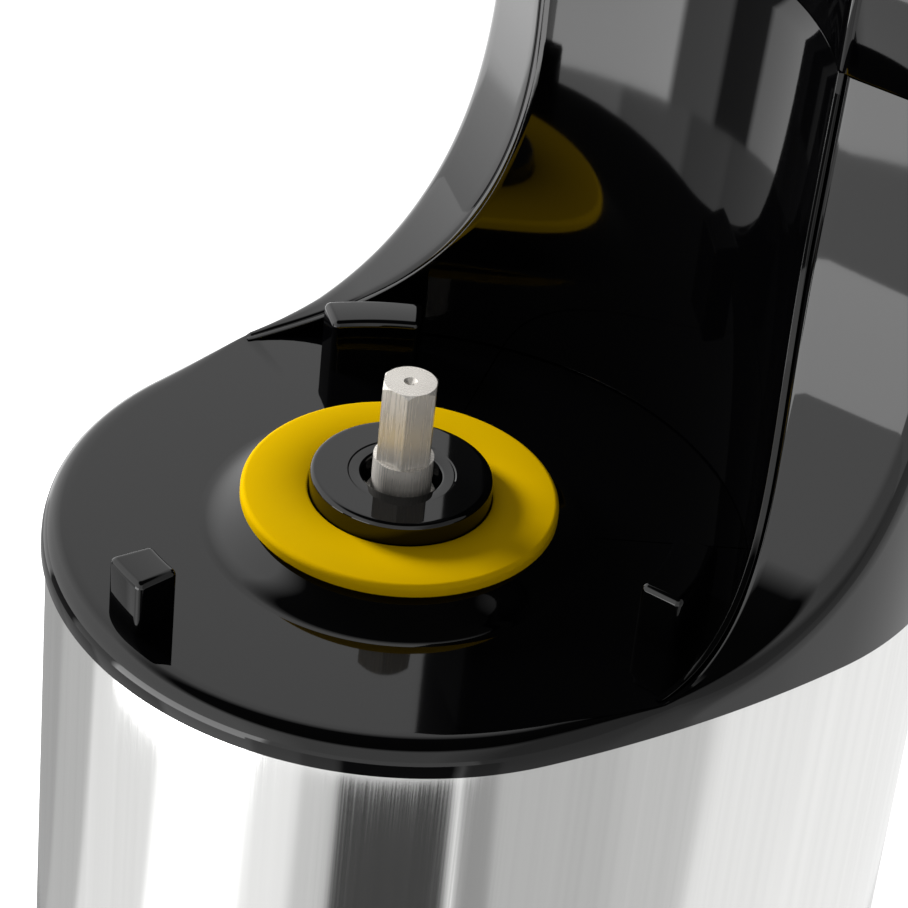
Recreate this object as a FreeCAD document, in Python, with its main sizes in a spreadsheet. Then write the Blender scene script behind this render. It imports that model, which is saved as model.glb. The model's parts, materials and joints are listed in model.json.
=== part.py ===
import FreeCAD
import Part
import Sketcher
import math
import os
import re

# Drive base of an upright cold press juicer, without its bowl set.
# Every piece is modelled about the drive shaft axis with z = 0 on the table,
# and the whole is then moved so that the origin is the middle of the footprint.

doc = FreeCAD.newDocument("juicer_base")
sheet = doc.addObject("Spreadsheet::Sheet", "Sizes")

SIZES = {
    # outline of the body, seen from above
    "front_radius": 82.0,          # round front, about the shaft axis
    "side_swell": 5.0,             # how much wider the body is at its widest place
    "widest_y": 50.0,
    "rear_centre_y": 60.0,
    # heights above the table
    "deck_height": 185.0,
    "pan_top": 24.0,
    "pan_bottom": 6.0,
    "skirt_depth": 7.5,            # deck down to the steel sleeve
    "column_height": 126.5,        # deck up to the cap's joint line
    "cap_height": 38.5,
    # walls and clearances
    "shell_wall": 2.5,
    "sleeve_wall": 0.8,
    "sleeve_inset": 1.2,
    "deck_wall": 3.0,
    "panel_wall": 1.5,
    "panel_window": 40.0,          # half the width of the opening behind the concave panel
    "panel_upstand": 10.0,
    "joint_gap": 0.3,
    "run_gap": 0.05,
    "rim_round": 3.0,
    # concave bowl wall and the wings beside it
    "wall_radius": 82.0,
    "wall_draft_deg": 1.0,
    "wing_slope": 0.36,            # how far the wings sweep back per millimetre sideways
    "wing_start": -26.0,
    "wing_knee": 15.0,
    "wing_top_y": 50.0,
    "wing_top_height": 90.0,
    "wing_turn_height": 20.0,
    # bayonet lugs of the bowl
    "lug_inner": 64.2,
    "lug_outer": 74.9,
    "lug_height": 14.0,
    "lug_round": 1.5,
    "front_lug_deg": 10.0,
    "rear_lug_deg": 19.2,
    "rear_lug_place_deg": 60.0,
    # mound, silicone ring and hub collar
    "mound_foot": 46.0,
    "mound_top": 34.5,
    "mound_height": 5.5,
    "ring_outer": 36.9,
    "ring_thick": 4.3,
    "ring_bevel": 1.6,
    "hub_radius": 21.2,
    "hub_top_radius": 19.4,
    "hub_height": 15.0,
    "hub_bore": 9.2,
    # drive shaft
    "shaft_radius": 8.0,
    "neck_radius": 7.0,
    "neck_start": 10.0,
    "hex_flats": 12.0,
    "hex_start": 19.8,
    "hex_chamfer": 0.9,
    "hex_turn_deg": -41.0,         # one corner faces the front right
    "centre_mark": 1.6,
    "shaft_top": 40.0,
    "clip_groove": 0.6,
    "clip_thick": 1.0,
    "clip_width": 1.8,
    # gear train
    "first_module": 1.0,
    "second_module": 1.5,
    "pinion_teeth": 12,
    "wheel_teeth": 60,
    "first_width": 8.0,
    "second_width": 12.0,
    "gear_space": 6.0,             # between the two wheels, one above the other
    "gear_rim_room": 6.0,          # from a wheel's pitch circle to the gearbox wall's outside
    "axle_radius": 4.0,
    "bush_wall": 4.0,
    "bush_length": 12.0,
    # gearbox and motor
    "gearbox_drop": 47.0,          # deck down to the gearbox floor's underside
    "gearbox_wall": 3.0,
    "cover_drop": 7.0,             # deck down to the top of the gearbox cover
    "cover_thick": 4.0,
    "bush_boss": 2.0,
    "bush_boss_height": 8.0,
    "motor_y": 40.0,
    "motor_radius": 50.0,
    "stack_height": 40.0,
    "rotor_radius": 28.0,
    "air_gap": 0.6,
    "slot_count": 12,
    "slot_width": 6.0,
    "tooth_lip": 2.0,
    "yoke": 9.0,
    "coil_height": 12.0,
    "coil_clear": 4.0,
    "bracket_floor": 6.0,
    "bracket_wall": 3.0,
    "bearing_radius": 11.0,
    "bearing_height": 7.0,
    "motor_shaft_radius": 4.0,
    "window_count": 6,
    "window_width": 12.0,
    "bolt_inset": 4.0,
    "bolt_grip": 2.2,              # how far the motor bolts go into the gearbox floor
    "fan_inset": 8.0,
    "fan_height": 11.0,
    "fan_blades": 11,
    "fan_plate": 2.0,
    "fan_gap": 3.0,
    # feet, vents and fasteners
    "foot_radius": 9.0,
    "foot_seat": 1.0,
    "rod_radius": 2.5,
    "rod_head": 4.5,
    "rod_head_height": 2.4,
    "rod_boss": 5.0,
    "rod_grip": 12.0,
    "foot_x": 56.0,
    "front_foot_y": -38.0,
    "rear_foot_y": 96.0,
    "vent_width": 3.0,
    "vent_length": 60.0,
    "vent_pitch": 7.0,
    "vent_count": 9,
    "screw_radius": 2.0,
    "screw_head": 3.8,
    "screw_boss": 4.8,
    "screw_head_height": 2.4,
    # switch, mains inlet and electrics
    "switch_height": 55.0,         # above the deck
    "switch_width": 15.0,
    "switch_length": 30.0,
    "switch_depth": 20.0,
    "switch_wall": 1.5,
    "rocker_pivot_depth": 5.0,
    "rocker_side_gap": 2.0,
    "rocker_end_gap": 2.6,
    "rocker_crest": 3.2,
    "rocker_valley": 1.6,
    "rocker_belly": 4.5,
    "gland_radius": 6.5,
    "gland_bore": 3.6,
    "gland_height": 15.0,
    "board_width": 70.0,
    "board_height": 90.0,
    "board_thick": 1.6,
    "board_rise": 12.0,            # above the deck
    "rail_width": 4.0,
    "rail_lip": 2.0,
    "capacitor_radius": 14.0,
    "capacitor_gap": 6.0,
    "cup_height": 14.0,
    "cup_wall": 1.6,
    "capacitor_height": 50.0,
}

for row, (alias, size) in enumerate(SIZES.items(), start=1):
    sheet.set(f"A{row}", alias.replace("_", " "))
    sheet.set(f"B{row}", str(size))
    sheet.setAlias(f"B{row}", alias)
doc.recompute()

WORDS = re.compile(r"[a-z_]+")


def bound(text):
    """The expression with every size's name pointing at the sheet."""
    def one(found):
        word = found.group(0)
        return "Sizes." + word if word in SIZES else word
    return WORDS.sub(one, text)


def number(text):
    """The present value of an expression of sizes."""
    value = sheet.evalExpression(bound(str(text)))
    return float(getattr(value, "Value", value))


# Heights and places that follow from the sizes
DECK = number("deck_height")
SEAM = number("deck_height - skirt_depth")
COLUMN_TOP = number("deck_height + column_height")
REACH_Y = number("widest_y")
HALF_WIDTH = number("front_radius + side_swell")
SIDE_RADIUS = (
    (number("front_radius") ** 2 - HALF_WIDTH ** 2 - REACH_Y ** 2)
    / (2 * (number("front_radius") - HALF_WIDTH))
)
REAR_RADIUS = SIDE_RADIUS - math.hypot(SIDE_RADIUS - HALF_WIDTH, number("rear_centre_y") - REACH_Y)
REAR_Y = number("rear_centre_y") + REAR_RADIUS
SHIFT_Y = -(REAR_Y - number("front_radius")) / 2
FIRST_CENTRES = number("first_module * (pinion_teeth + wheel_teeth) / 2")
SECOND_CENTRES = number("second_module * (pinion_teeth + wheel_teeth) / 2")
MOTOR_Y = number("motor_y")
IDLER_Y = (SECOND_CENTRES ** 2 - FIRST_CENTRES ** 2 + MOTOR_Y ** 2) / (2 * MOTOR_Y)
IDLER_X = math.sqrt(SECOND_CENTRES ** 2 - IDLER_Y ** 2)

sheet.set("D1", "shift y")
sheet.set("E1", str(SHIFT_Y))
sheet.setAlias("E1", "shift_y")
sheet.set("D2", "idler x")
sheet.set("E2", str(IDLER_X))
sheet.setAlias("E2", "idler_x")
sheet.set("D3", "idler y")
sheet.set("E3", str(IDLER_Y))
sheet.setAlias("E3", "idler_y")
doc.recompute()
DERIVED = ("shift_y", "idler_x", "idler_y")
SIZES.update({name: 0 for name in DERIVED})

pieces = []
UP = FreeCAD.Vector(0, 0, 1)


def point(x, y, z=0.0):
    return FreeCAD.Vector(x, y, z)


def place(piece, x="0", y="0", z="0"):
    """Moves a sub-part from the shaft axis to its own axis in the finished frame."""
    piece.setExpression("Placement.Base.x", bound(x))
    piece.setExpression("Placement.Base.y", bound(f"{y} + shift_y"))
    piece.setExpression("Placement.Base.z", bound(z))


def keep(piece, label):
    piece.Label = label
    pieces.append(piece)
    return piece


def origin_plane(body, role):
    return [item for item in body.Origin.OriginFeatures if item.Role == role][0]


def outline_sketch(body, role, corners):
    """A closed outline of straight lines whose corners are bound to sizes."""
    sketch = body.newObject("Sketcher::SketchObject", body.Name + "_outline")
    sketch.AttachmentSupport = [(origin_plane(body, role), "")]
    sketch.MapMode = "FlatFace"
    spots = [point(number(x), number(y)) for x, y in corners]
    count = len(spots)
    for index in range(count):
        sketch.addGeometry(Part.LineSegment(spots[index], spots[(index + 1) % count]), False)
    for index in range(count):
        following = (index + 1) % count
        sketch.addConstraint(Sketcher.Constraint("Coincident", index, 2, following, 1))
    for index, (x, y) in enumerate(corners):
        for kind, text, value in (("DistanceX", x, spots[index].x), ("DistanceY", y, spots[index].y)):
            mark = sketch.addConstraint(Sketcher.Constraint(kind, -1, 1, index, 1, value))
            sketch.setExpression(f"Constraints[{mark}]", bound(str(text)))
    return sketch


def turned(label, corners, x="0", y="0", z="0"):
    """A body turned about its own vertical axis from an outline of radius and height."""
    body = doc.addObject("PartDesign::Body", label)
    sketch = outline_sketch(body, "XZ_Plane", corners)
    spin = body.newObject("PartDesign::Revolution", label + "_turning")
    spin.Profile = sketch
    spin.ReferenceAxis = (sketch, ["V_Axis"])
    spin.Angle = 360
    place(body, x, y, z)
    return keep(body, label)


def ring(label, inner, outer, low, high, x="0", y="0"):
    """A plain turned ring between two heights above the table."""
    return turned(label, [(inner, low), (outer, low), (outer, high), (inner, high)], x, y)


def shaped(label, shape, x="0", y="0"):
    """A sub-part whose shape is made with free-form operations."""
    piece = doc.addObject("Part::Feature", label)
    piece.Shape = shape
    place(piece, x, y)
    return keep(piece, label)


def cylinder(radius, low, high, x=0.0, y=0.0):
    return Part.makeCylinder(radius, high - low, point(x, y, low))


def block(x_low, x_high, y_low, y_high, z_low, z_high):
    return Part.makeBox(x_high - x_low, y_high - y_low, z_high - z_low, point(x_low, y_low, z_low))


def body_face(inset, height):
    """The body's outline from above: four arcs that meet smoothly, moved inwards by inset."""
    front = number("front_radius") - inset
    rear = REAR_RADIUS - inset
    side = SIDE_RADIUS - inset
    centre_y = number("rear_centre_y")
    lean_front = math.atan2(REACH_Y, HALF_WIDTH - SIDE_RADIUS)
    lean_rear = math.atan2(centre_y - REACH_Y, SIDE_RADIUS - HALF_WIDTH)
    front_x = -front * math.cos(lean_front)
    front_y = -front * math.sin(lean_front)
    rear_x = rear * math.cos(lean_rear)
    rear_y = centre_y + rear * math.sin(lean_rear)
    widest = HALF_WIDTH - inset
    edges = [
        Part.Arc(point(-front_x, front_y, height), point(0, -front, height),
                 point(front_x, front_y, height)),
        Part.Arc(point(front_x, front_y, height), point(widest, REACH_Y, height),
                 point(rear_x, rear_y, height)),
        Part.Arc(point(rear_x, rear_y, height), point(0, centre_y + rear, height),
                 point(-rear_x, rear_y, height)),
        Part.Arc(point(-rear_x, rear_y, height), point(-widest, REACH_Y, height),
                 point(-front_x, front_y, height)),
    ]
    return Part.Face(Part.Wire([edge.toShape() for edge in edges]))


def body_block(inset, low, high):
    return body_face(inset, low).extrude(UP * (high - low))


def wing_cutters(back=0.0, drop=0.0):
    """What is cleared away in front of the wings: one sheared block on each side."""
    low = DECK - drop
    front = -2 * number("front_radius")
    top = COLUMN_TOP + 2 * number("cap_height")
    start = point(0, number("wing_start") + back, low)
    knee = point(0, number("wing_knee") + back, low)
    turn = point(0, number("wing_top_y") + back, low + number("wing_turn_height"))
    finish = point(0, number("wing_top_y") + back, low + number("wing_top_height"))
    sweep = Part.BezierCurve()
    sweep.setPoles([start, knee, turn, finish])
    corners = [finish, point(0, finish.y, top), point(0, front, top), point(0, front, low), start]
    edges = [sweep.toShape()]
    edges += [Part.LineSegment(a, b).toShape() for a, b in zip(corners, corners[1:])]
    face = Part.Face(Part.Wire(edges))
    reach = 2 * HALF_WIDTH
    slope = number("wing_slope")
    return [face.extrude(point(side * reach, reach * slope)) for side in (1, -1)]


def wall_cone(extra, low, high):
    """The bowl's space: a cone about the shaft axis that opens slightly upwards."""
    draft = math.tan(math.radians(number("wall_draft_deg")))
    bottom = number("wall_radius") + extra + (low - DECK) * draft
    upper = number("wall_radius") + extra + (high - DECK) * draft
    return Part.makeCone(bottom, upper, high - low, point(0, 0, low))


def edges_where(shape, test):
    return [edge for edge in shape.Edges if test(edge)]


def lug(place_deg, span_deg):
    """A bayonet block: a piece of a ring with rounded top and corners."""
    height = number("lug_height")
    start = place_deg - span_deg / 2
    outer = Part.makeCylinder(number("lug_outer"), height, point(0, 0, DECK), UP, span_deg)
    inner = Part.makeCylinder(number("lug_inner"), height, point(0, 0, DECK), UP, 360)
    piece = outer.cut(inner)
    upper = edges_where(piece, lambda edge: edge.BoundBox.ZMax > DECK + height / 2)
    piece = piece.makeFillet(number("lug_round"), upper)
    piece.rotate(point(0, 0, 0), UP, start)
    return piece


def mound():
    """The flared rise under the silicone ring."""
    foot, top = number("mound_foot"), number("mound_top")
    height = number("mound_height")
    bore = number("hub_radius + joint_gap")
    deep = number("deck_wall")
    sag = point((foot + top) / 2 - height / 3, 0, DECK + height / 4)
    corners = [point(top, 0, DECK + height), point(bore, 0, DECK + height),
               point(bore, 0, DECK - deep), point(foot, 0, DECK - deep), point(foot, 0, DECK)]
    edges = [Part.Arc(point(foot, 0, DECK), sag, point(top, 0, DECK + height)).toShape()]
    edges += [Part.LineSegment(a, b).toShape() for a, b in zip(corners, corners[1:])]
    return Part.Face(Part.Wire(edges)).revolve(point(0, 0, 0), UP, 360)


def rim_edges(shape):
    """The outer edge that runs round the deck and up the wings."""
    found = []
    skirt = body_face(0, DECK).OuterWire
    for edge in shape.Edges:
        middle = edge.valueAt((edge.FirstParameter + edge.LastParameter) / 2)
        on_skirt = skirt.distToShape(Part.Vertex(middle.x, middle.y, DECK))[0] < 0.01
        level = edge.BoundBox.ZMax - edge.BoundBox.ZMin < 0.01
        at_ends = level and (middle.z < DECK - 0.1 or middle.z > DECK + 1)
        upright = edge.BoundBox.XMax - edge.BoundBox.XMin < 0.01
        if on_skirt and not at_ends and not upright:
            found.append(edge)
    return found


def column_solid(inset, top):
    """Everything of the upper moulding's outer form, from the joint with the steel to top."""
    solid = body_block(inset, SEAM, top)
    for cutter in wing_cutters():
        solid = solid.cut(cutter)
    return solid


def upper_housing():
    outside = column_solid(0, COLUMN_TOP)
    rounded = outside.makeFillet(number("rim_round"), rim_edges(outside))
    panel_back = number("panel_wall + joint_gap")
    solid = rounded.cut(wall_cone(panel_back, DECK, COLUMN_TOP + 1))
    wall = number("shell_wall")
    under_deck = DECK - number("deck_wall")
    solid = solid.cut(body_block(wall, SEAM - 1, under_deck))
    hollow = body_block(wall, under_deck - 1, COLUMN_TOP + 1)
    for cutter in wing_cutters(back=2 * wall, drop=wall):
        hollow = hollow.cut(cutter)
    hollow = hollow.cut(wall_cone(panel_back + wall, under_deck - 2, COLUMN_TOP + 2))
    solid = solid.cut(hollow)
    opening = number("panel_window")
    solid = solid.cut(block(-opening, opening, REACH_Y, number("wall_radius + 4 * shell_wall"),
                            DECK + number("panel_upstand"), COLUMN_TOP + 1))
    solid = solid.cut(cylinder(number("hub_radius + joint_gap"), SEAM, DECK + 1))
    solid = solid.fuse(mound())
    span = number("rear_lug_deg")
    angle = number("rear_lug_place_deg")
    for block_piece in (lug(-90, number("front_lug_deg")), lug(90 - angle, span), lug(90 + angle, span)):
        solid = solid.fuse(block_piece)
    for x, y in gearbox_screw_places():
        solid = solid.fuse(cylinder(number("screw_head"), DECK - number("cover_drop"), DECK - 1, x, y))
        solid = solid.cut(cylinder(number("screw_radius"), SEAM - 1, under_deck + 1, x, y))
    for x, y in foot_places():
        solid = solid.fuse(rod_boss(x, y))
    solid = solid.fuse(board_rails())
    lip = body_block(number("sleeve_inset + sleeve_wall + joint_gap"), SEAM - 4, under_deck)
    lip = lip.cut(body_block(number("sleeve_inset + sleeve_wall + joint_gap + shell_wall"),
                             SEAM - 5, under_deck + 1))
    solid = solid.fuse(lip)
    return solid.cut(switch_hole()).removeSplitter()


def rod_boss(x, y):
    """The boss that takes a tie rod, with a rib out to the wall where it has no deck above it."""
    low, high = SEAM - number("rod_grip"), DECK - number("deck_wall / 2")
    radius = number("rod_boss")
    boss = cylinder(radius, low, high, x, y)
    behind_deck = math.hypot(x, y) > number("wall_radius")
    if behind_deck:
        rib = block(0, number("foot_x"), -number("shell_wall / 2"), number("shell_wall / 2"), SEAM, high)
        outwards = math.degrees(math.atan2(y - number("rear_centre_y"), x))
        rib.rotate(point(0, 0, 0), UP, outwards)
        rib.translate(point(x, y))
        boss = boss.fuse(rib.common(body_block(number("shell_wall / 2"), SEAM, high)))
    return boss.cut(cylinder(number("rod_radius"), low - 1, SEAM, x, y))


def board_rails():
    """Two grooved ribs on the rear wall that hold the circuit board by its edges."""
    half, lip = number("board_width / 2"), number("rail_lip")
    low, high = board_levels()
    gap = number("joint_gap / 2")
    rails = block(half - lip, half - lip + number("rail_width"), BOARD_Y - lip, REAR_Y, low - lip, high)
    groove = block(0, half + gap, BOARD_Y - gap, BOARD_Y + number("board_thick") + gap, low, high + 1)
    rail = rails.cut(groove).common(body_block(number("shell_wall / 2"), low - lip, high))
    return Part.Compound([rail, rail.mirror(point(0, 0, 0), point(1, 0, 0))])


def front_panel():
    """The separate concave panel that the bowl stands against."""
    gap = number("joint_gap")
    solid = body_block(number("shell_wall"), DECK + gap, COLUMN_TOP)
    for cutter in wing_cutters(back=gap):
        solid = solid.cut(cutter)
    solid = solid.common(wall_cone(number("panel_wall"), DECK + gap, COLUMN_TOP))
    return solid.cut(wall_cone(0, DECK, COLUMN_TOP + 1)).removeSplitter()


def column_cap():
    """The closed top of the column, with a rounded crown and a spigot into the housing."""
    gap = number("joint_gap")
    low = COLUMN_TOP + gap
    top = COLUMN_TOP + number("cap_height")
    solid = body_block(0, low, top)
    for cutter in wing_cutters():
        solid = solid.cut(cutter)
    solid = solid.cut(wall_cone(0, COLUMN_TOP, top + 1))
    crown = edges_where(solid, lambda edge: edge.BoundBox.ZMin > top - 0.01)
    solid = solid.makeFillet(number("2 * rim_round"), crown)
    wall = number("shell_wall")
    hollow = body_block(wall, low - 1, top - wall)
    for cutter in wing_cutters(back=2 * wall):
        hollow = hollow.cut(cutter)
    hollow = hollow.cut(wall_cone(wall, low - 2, top + 1))
    return solid.cut(hollow)


def switch_place():
    return DECK + number("switch_height")


def switch_hole():
    half = number("switch_width / 2 + joint_gap")
    reach = number("switch_length / 2 + joint_gap")
    level = switch_place()
    return block(-half, half, REAR_Y - number("switch_depth"), REAR_Y + 1, level - reach, level + reach)


def switch_frame():
    half, reach = number("switch_width / 2"), number("switch_length / 2")
    level = switch_place()
    wall = number("switch_wall")
    rear = REAR_Y - number("switch_depth")
    solid = block(-half, half, rear, REAR_Y, level - reach, level + reach)
    inside = block(-half + wall, half - wall, rear + 2 * wall, REAR_Y + 1,
                   level - reach + wall, level + reach - wall)
    return solid.cut(inside)


def switch_rocker():
    """A rocker with two faces that meet in a shallow valley, on two stub pins."""
    half = number("switch_width / 2 - rocker_side_gap")
    reach = number("switch_length / 2 - rocker_end_gap")
    level = switch_place()
    pivot_y = REAR_Y - number("rocker_pivot_depth")
    crest = pivot_y + number("rocker_crest")
    valley = pivot_y + number("rocker_valley")
    belly = pivot_y - number("rocker_belly")
    corners = [point(-half, crest, level + reach), point(-half, valley, level),
               point(-half, crest, level - reach), point(-half, pivot_y, level - reach + 1),
               point(-half, belly, level - 2), point(-half, belly, level + 2),
               point(-half, pivot_y, level + reach - 1)]
    face = Part.Face(Part.makePolygon(corners + corners[:1]))
    return face.extrude(point(2 * half, 0, 0))


def tooth_outline(module, teeth, turn_deg):
    """A gear's outline: straight-sided teeth with backlash, as a closed polygon."""
    pitch = module * teeth / 2
    root, tip = pitch - 1.25 * module, pitch + 0.85 * module
    step = 2 * math.pi / teeth
    half_root, half_pitch, half_tip = 0.33 * step, 0.225 * step, 0.105 * step
    spots = []
    for index in range(int(teeth)):
        middle = index * step + math.radians(turn_deg)
        for radius, lean in ((root, -half_root), (pitch, -half_pitch), (tip, -half_tip),
                             (tip, half_tip), (pitch, half_pitch), (root, half_root)):
            spots.append(point(radius * math.cos(middle + lean), radius * math.sin(middle + lean)))
    return Part.Face(Part.makePolygon(spots + spots[:1]))


def gear(module, teeth, turn_deg, bore, low, high):
    face = tooth_outline(module, teeth, turn_deg)
    face.translate(point(0, 0, low))
    return face.extrude(UP * (high - low)).cut(cylinder(bore, low - 1, high + 1))


def meshing_turn(driver_deg, driver_teeth, line_deg, teeth):
    """How far a gear is turned so that a gap of it faces the driver's tooth on the centre line."""
    driver_step = 360 / driver_teeth
    step = 360 / teeth
    phase = (line_deg - driver_deg) / driver_step
    return line_deg + 180 + (phase + 0.5) * step


def gearbox_block(inset, low, high):
    """The gearbox's outline from above: round about the shaft, drawn out over the idler."""
    tall = high - low
    main = number("second_module * wheel_teeth / 2 + gear_rim_room") - inset
    small = number("first_module * wheel_teeth / 2 + gear_rim_room - 1") - inset
    away = math.hypot(IDLER_X, IDLER_Y)
    ux, uy = IDLER_X / away, IDLER_Y / away
    lean = math.acos((main - small) / away)
    spots = []
    for cx, cy, radius, side in ((0, 0, main, 1), (IDLER_X, IDLER_Y, small, 1),
                                 (IDLER_X, IDLER_Y, small, -1), (0, 0, main, -1)):
        base = math.atan2(uy, ux) + side * lean
        spots.append(point(cx + radius * math.cos(base), cy + radius * math.sin(base), low))
    bridge = Part.Face(Part.makePolygon(spots + spots[:1])).extrude(UP * tall)
    solid = cylinder(main, low, high).fuse(cylinder(small, low, high, IDLER_X, IDLER_Y))
    return solid.fuse(bridge).removeSplitter()


def motor_bolt_places():
    """The through bolts' places about the motor's axis."""
    reach = number("motor_radius - bolt_inset")
    return [(reach * math.cos(math.radians(angle)), reach * math.sin(math.radians(angle)))
            for angle in (45, 135, 225, 315)]


def gearbox_screw_places():
    reach = number("second_module * wheel_teeth / 2 + gear_rim_room + screw_head + joint_gap")
    return [(reach * math.cos(math.radians(angle)), reach * math.sin(math.radians(angle)))
            for angle in (-20, -100, 180, 128)]


BOX_LOW = DECK - number("gearbox_drop")
COVER_TOP = DECK - number("cover_drop")
COVER_LOW = COVER_TOP - number("cover_thick")
FLOOR_TOP = BOX_LOW + number("gearbox_wall")
FIRST_LOW = FLOOR_TOP + number("gear_space / 2")
FIRST_TOP = FIRST_LOW + number("first_width")
SECOND_LOW = FIRST_TOP + number("gear_space")
SECOND_TOP = SECOND_LOW + number("second_width")
HOUSING_SCREW_TOP = DECK - number("deck_wall - joint_gap")
SCREW_SEAT = BOX_LOW + number("gearbox_wall") + FIRST_TOP - FIRST_LOW
BOSS_TOP = FLOOR_TOP + number("bush_boss_height")
BOARD_Y = (number("wall_radius") + REAR_Y) / 2


def gearbox_base():
    wall = number("gearbox_wall")
    solid = gearbox_block(0, BOX_LOW, COVER_LOW)
    solid = solid.cut(gearbox_block(wall, FLOOR_TOP, COVER_LOW + 1))
    solid = solid.fuse(cylinder(number("shaft_radius + bush_wall + bush_boss"), BOX_LOW, BOSS_TOP))
    for x, y in gearbox_screw_places():
        solid = solid.fuse(cylinder(number("screw_boss"), SCREW_SEAT, COVER_LOW, x, y))
    bush = number("shaft_radius + bush_wall")
    solid = solid.cut(cylinder(bush, BOSS_TOP - number("bush_length - 2"), COVER_TOP))
    solid = solid.cut(cylinder(number("axle_radius"), BOX_LOW + 1, FLOOR_TOP + 1, IDLER_X, IDLER_Y))
    pinion_room = number("first_module * (pinion_teeth / 2 + 2)")
    solid = solid.cut(cylinder(pinion_room, BOX_LOW - 1, FLOOR_TOP + 1, 0, MOTOR_Y))
    for x, y in gearbox_screw_places():
        solid = solid.cut(cylinder(number("screw_radius"), BOX_LOW, COVER_TOP, x, y))
    for x, y in motor_bolt_places():
        solid = solid.cut(cylinder(number("screw_radius"), BOX_LOW - 1, BOX_LOW + number("bolt_grip"),
                                   x, y + MOTOR_Y))
    return solid.removeSplitter()


def gearbox_cover():
    solid = gearbox_block(0, COVER_LOW, COVER_TOP)
    for x, y in gearbox_screw_places():
        solid = solid.fuse(cylinder(number("screw_boss"), COVER_LOW, COVER_TOP, x, y))
        solid = solid.cut(cylinder(number("screw_radius"), COVER_LOW - 1, COVER_TOP + 1, x, y))
    solid = solid.cut(cylinder(number("shaft_radius + bush_wall"), COVER_LOW - 1, COVER_TOP + 1))
    return solid.cut(cylinder(number("axle_radius"), COVER_LOW - 1, COVER_TOP - 1,
                              IDLER_X, IDLER_Y)).removeSplitter()


def screws(places, low, high, radius, head, tall):
    """A group of identical screws with the head at the low end."""
    group = []
    for x, y in places:
        shank = cylinder(radius, low, high, x, y)
        group.append(shank.fuse(cylinder(head, low - tall, low, x, y)).removeSplitter())
    return Part.Compound(group)


def steel_sleeve():
    inset = number("sleeve_inset")
    low, high = number("pan_top"), SEAM
    return body_block(inset, low, high).cut(body_block(inset + number("sleeve_wall"), low - 1, high + 1))


def foot_places():
    x = number("foot_x")
    return [(side * x, y) for y in (number("front_foot_y"), number("rear_foot_y")) for side in (1, -1)]


CAPACITOR_Y = MOTOR_Y + number("motor_radius + bracket_wall + capacitor_radius + capacitor_gap")


def base_pan():
    """The moulded bottom: wall, spigot inside the steel, air slots, foot and screw seats."""
    inset = number("sleeve_inset")
    wall = number("shell_wall")
    low, high = number("pan_bottom"), number("pan_top")
    solid = body_block(inset, low, high)
    bottom = edges_where(solid, lambda edge: edge.BoundBox.ZMax < low + 0.01)
    solid = solid.makeFillet(number("rim_round"), bottom)
    solid = solid.cut(body_block(inset + wall, low + wall, high + 1))
    spigot = number("sleeve_inset + sleeve_wall + joint_gap")
    tongue = body_block(spigot, low + wall, high + 6)
    solid = solid.fuse(tongue.cut(body_block(spigot + wall, low, high + 7)))
    start = -(number("vent_count") - 1) / 2 * number("vent_pitch")
    length = number("vent_length")
    for index in range(int(number("vent_count"))):
        middle = MOTOR_Y + start + index * number("vent_pitch")
        half = number("vent_width / 2")
        solid = solid.cut(block(-length / 2, length / 2, middle - half, middle + half, low - 1, low + wall + 1))
    boss_top = low + wall + number("rod_boss")
    for x, y in foot_places():
        solid = solid.fuse(cylinder(number("rod_boss"), low, boss_top, x, y))
        solid = solid.cut(cylinder(number("foot_radius"), low - 1, low + number("foot_seat"), x, y))
        solid = solid.cut(cylinder(number("rod_radius"), low, boss_top + 1, x, y))
    can = number("capacitor_radius")
    cup_top = low + wall + number("cup_height")
    cup = cylinder(can + number("cup_wall"), low + wall, cup_top, 0, CAPACITOR_Y)
    solid = solid.fuse(cup.cut(cylinder(can, low + wall, cup_top + 1, 0, CAPACITOR_Y)))
    solid = solid.cut(gland_rod(number("gland_radius - 1.2"), REAR_Y - 12, REAR_Y + 1))
    return solid.removeSplitter()


def gland_rod(radius, y_low, y_high):
    centre = point(0, y_low, number("gland_height"))
    return Part.makeCylinder(radius, y_high - y_low, centre, point(0, 1, 0))


def cord_gland():
    """The bush in the rear wall that the mains lead would pass through."""
    inset = number("sleeve_inset")
    wall = number("shell_wall")
    face = REAR_Y - inset
    body = gland_rod(number("gland_radius - 1.2"), face - wall - 4, face)
    flange = gland_rod(number("gland_radius"), face, REAR_Y)
    nut = gland_rod(number("gland_radius"), face - wall - 4, face - 2 * wall - 0.9)
    return body.fuse(flange).fuse(nut).cut(gland_rod(number("gland_bore"), face - 20, face + 5)).removeSplitter()


def foot(x, y):
    """A rubber foot with a pocket over the head of the tie rod."""
    top = number("pan_bottom + foot_seat")
    solid = cylinder(number("foot_radius") - number("joint_gap"), 0, top, x, y)
    rim = edges_where(solid, lambda edge: edge.BoundBox.ZMax < 0.01)
    solid = solid.makeChamfer(number("foot_seat"), rim)
    pocket = top - number("rod_head_height + joint_gap")
    return solid.cut(cylinder(number("rod_head + joint_gap"), pocket, top + 1, x, y))


STACK_TOP = BOX_LOW - number("bracket_floor + coil_height + coil_clear")
STACK_LOW = STACK_TOP - number("stack_height")


def stator_core():
    """Laminated core with winding slots round the rotor."""
    solid = cylinder(number("motor_radius"), STACK_LOW, STACK_TOP, 0, 0)
    solid = solid.cut(cylinder(number("rotor_radius + air_gap"), STACK_LOW - 1, STACK_TOP + 1))
    slots = int(number("slot_count"))
    half = number("slot_width / 2")
    for index in range(slots):
        slot = block(number("rotor_radius + tooth_lip"), number("motor_radius - yoke"), -half, half,
                     STACK_LOW - 1, STACK_TOP + 1)
        slot.rotate(point(0, 0, 0), UP, index * 360 / slots)
        solid = solid.cut(slot)
    for x, y in motor_bolt_places():
        solid = solid.cut(cylinder(number("screw_radius"), STACK_LOW - 1, STACK_TOP + 1, x, y))
    return solid


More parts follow.
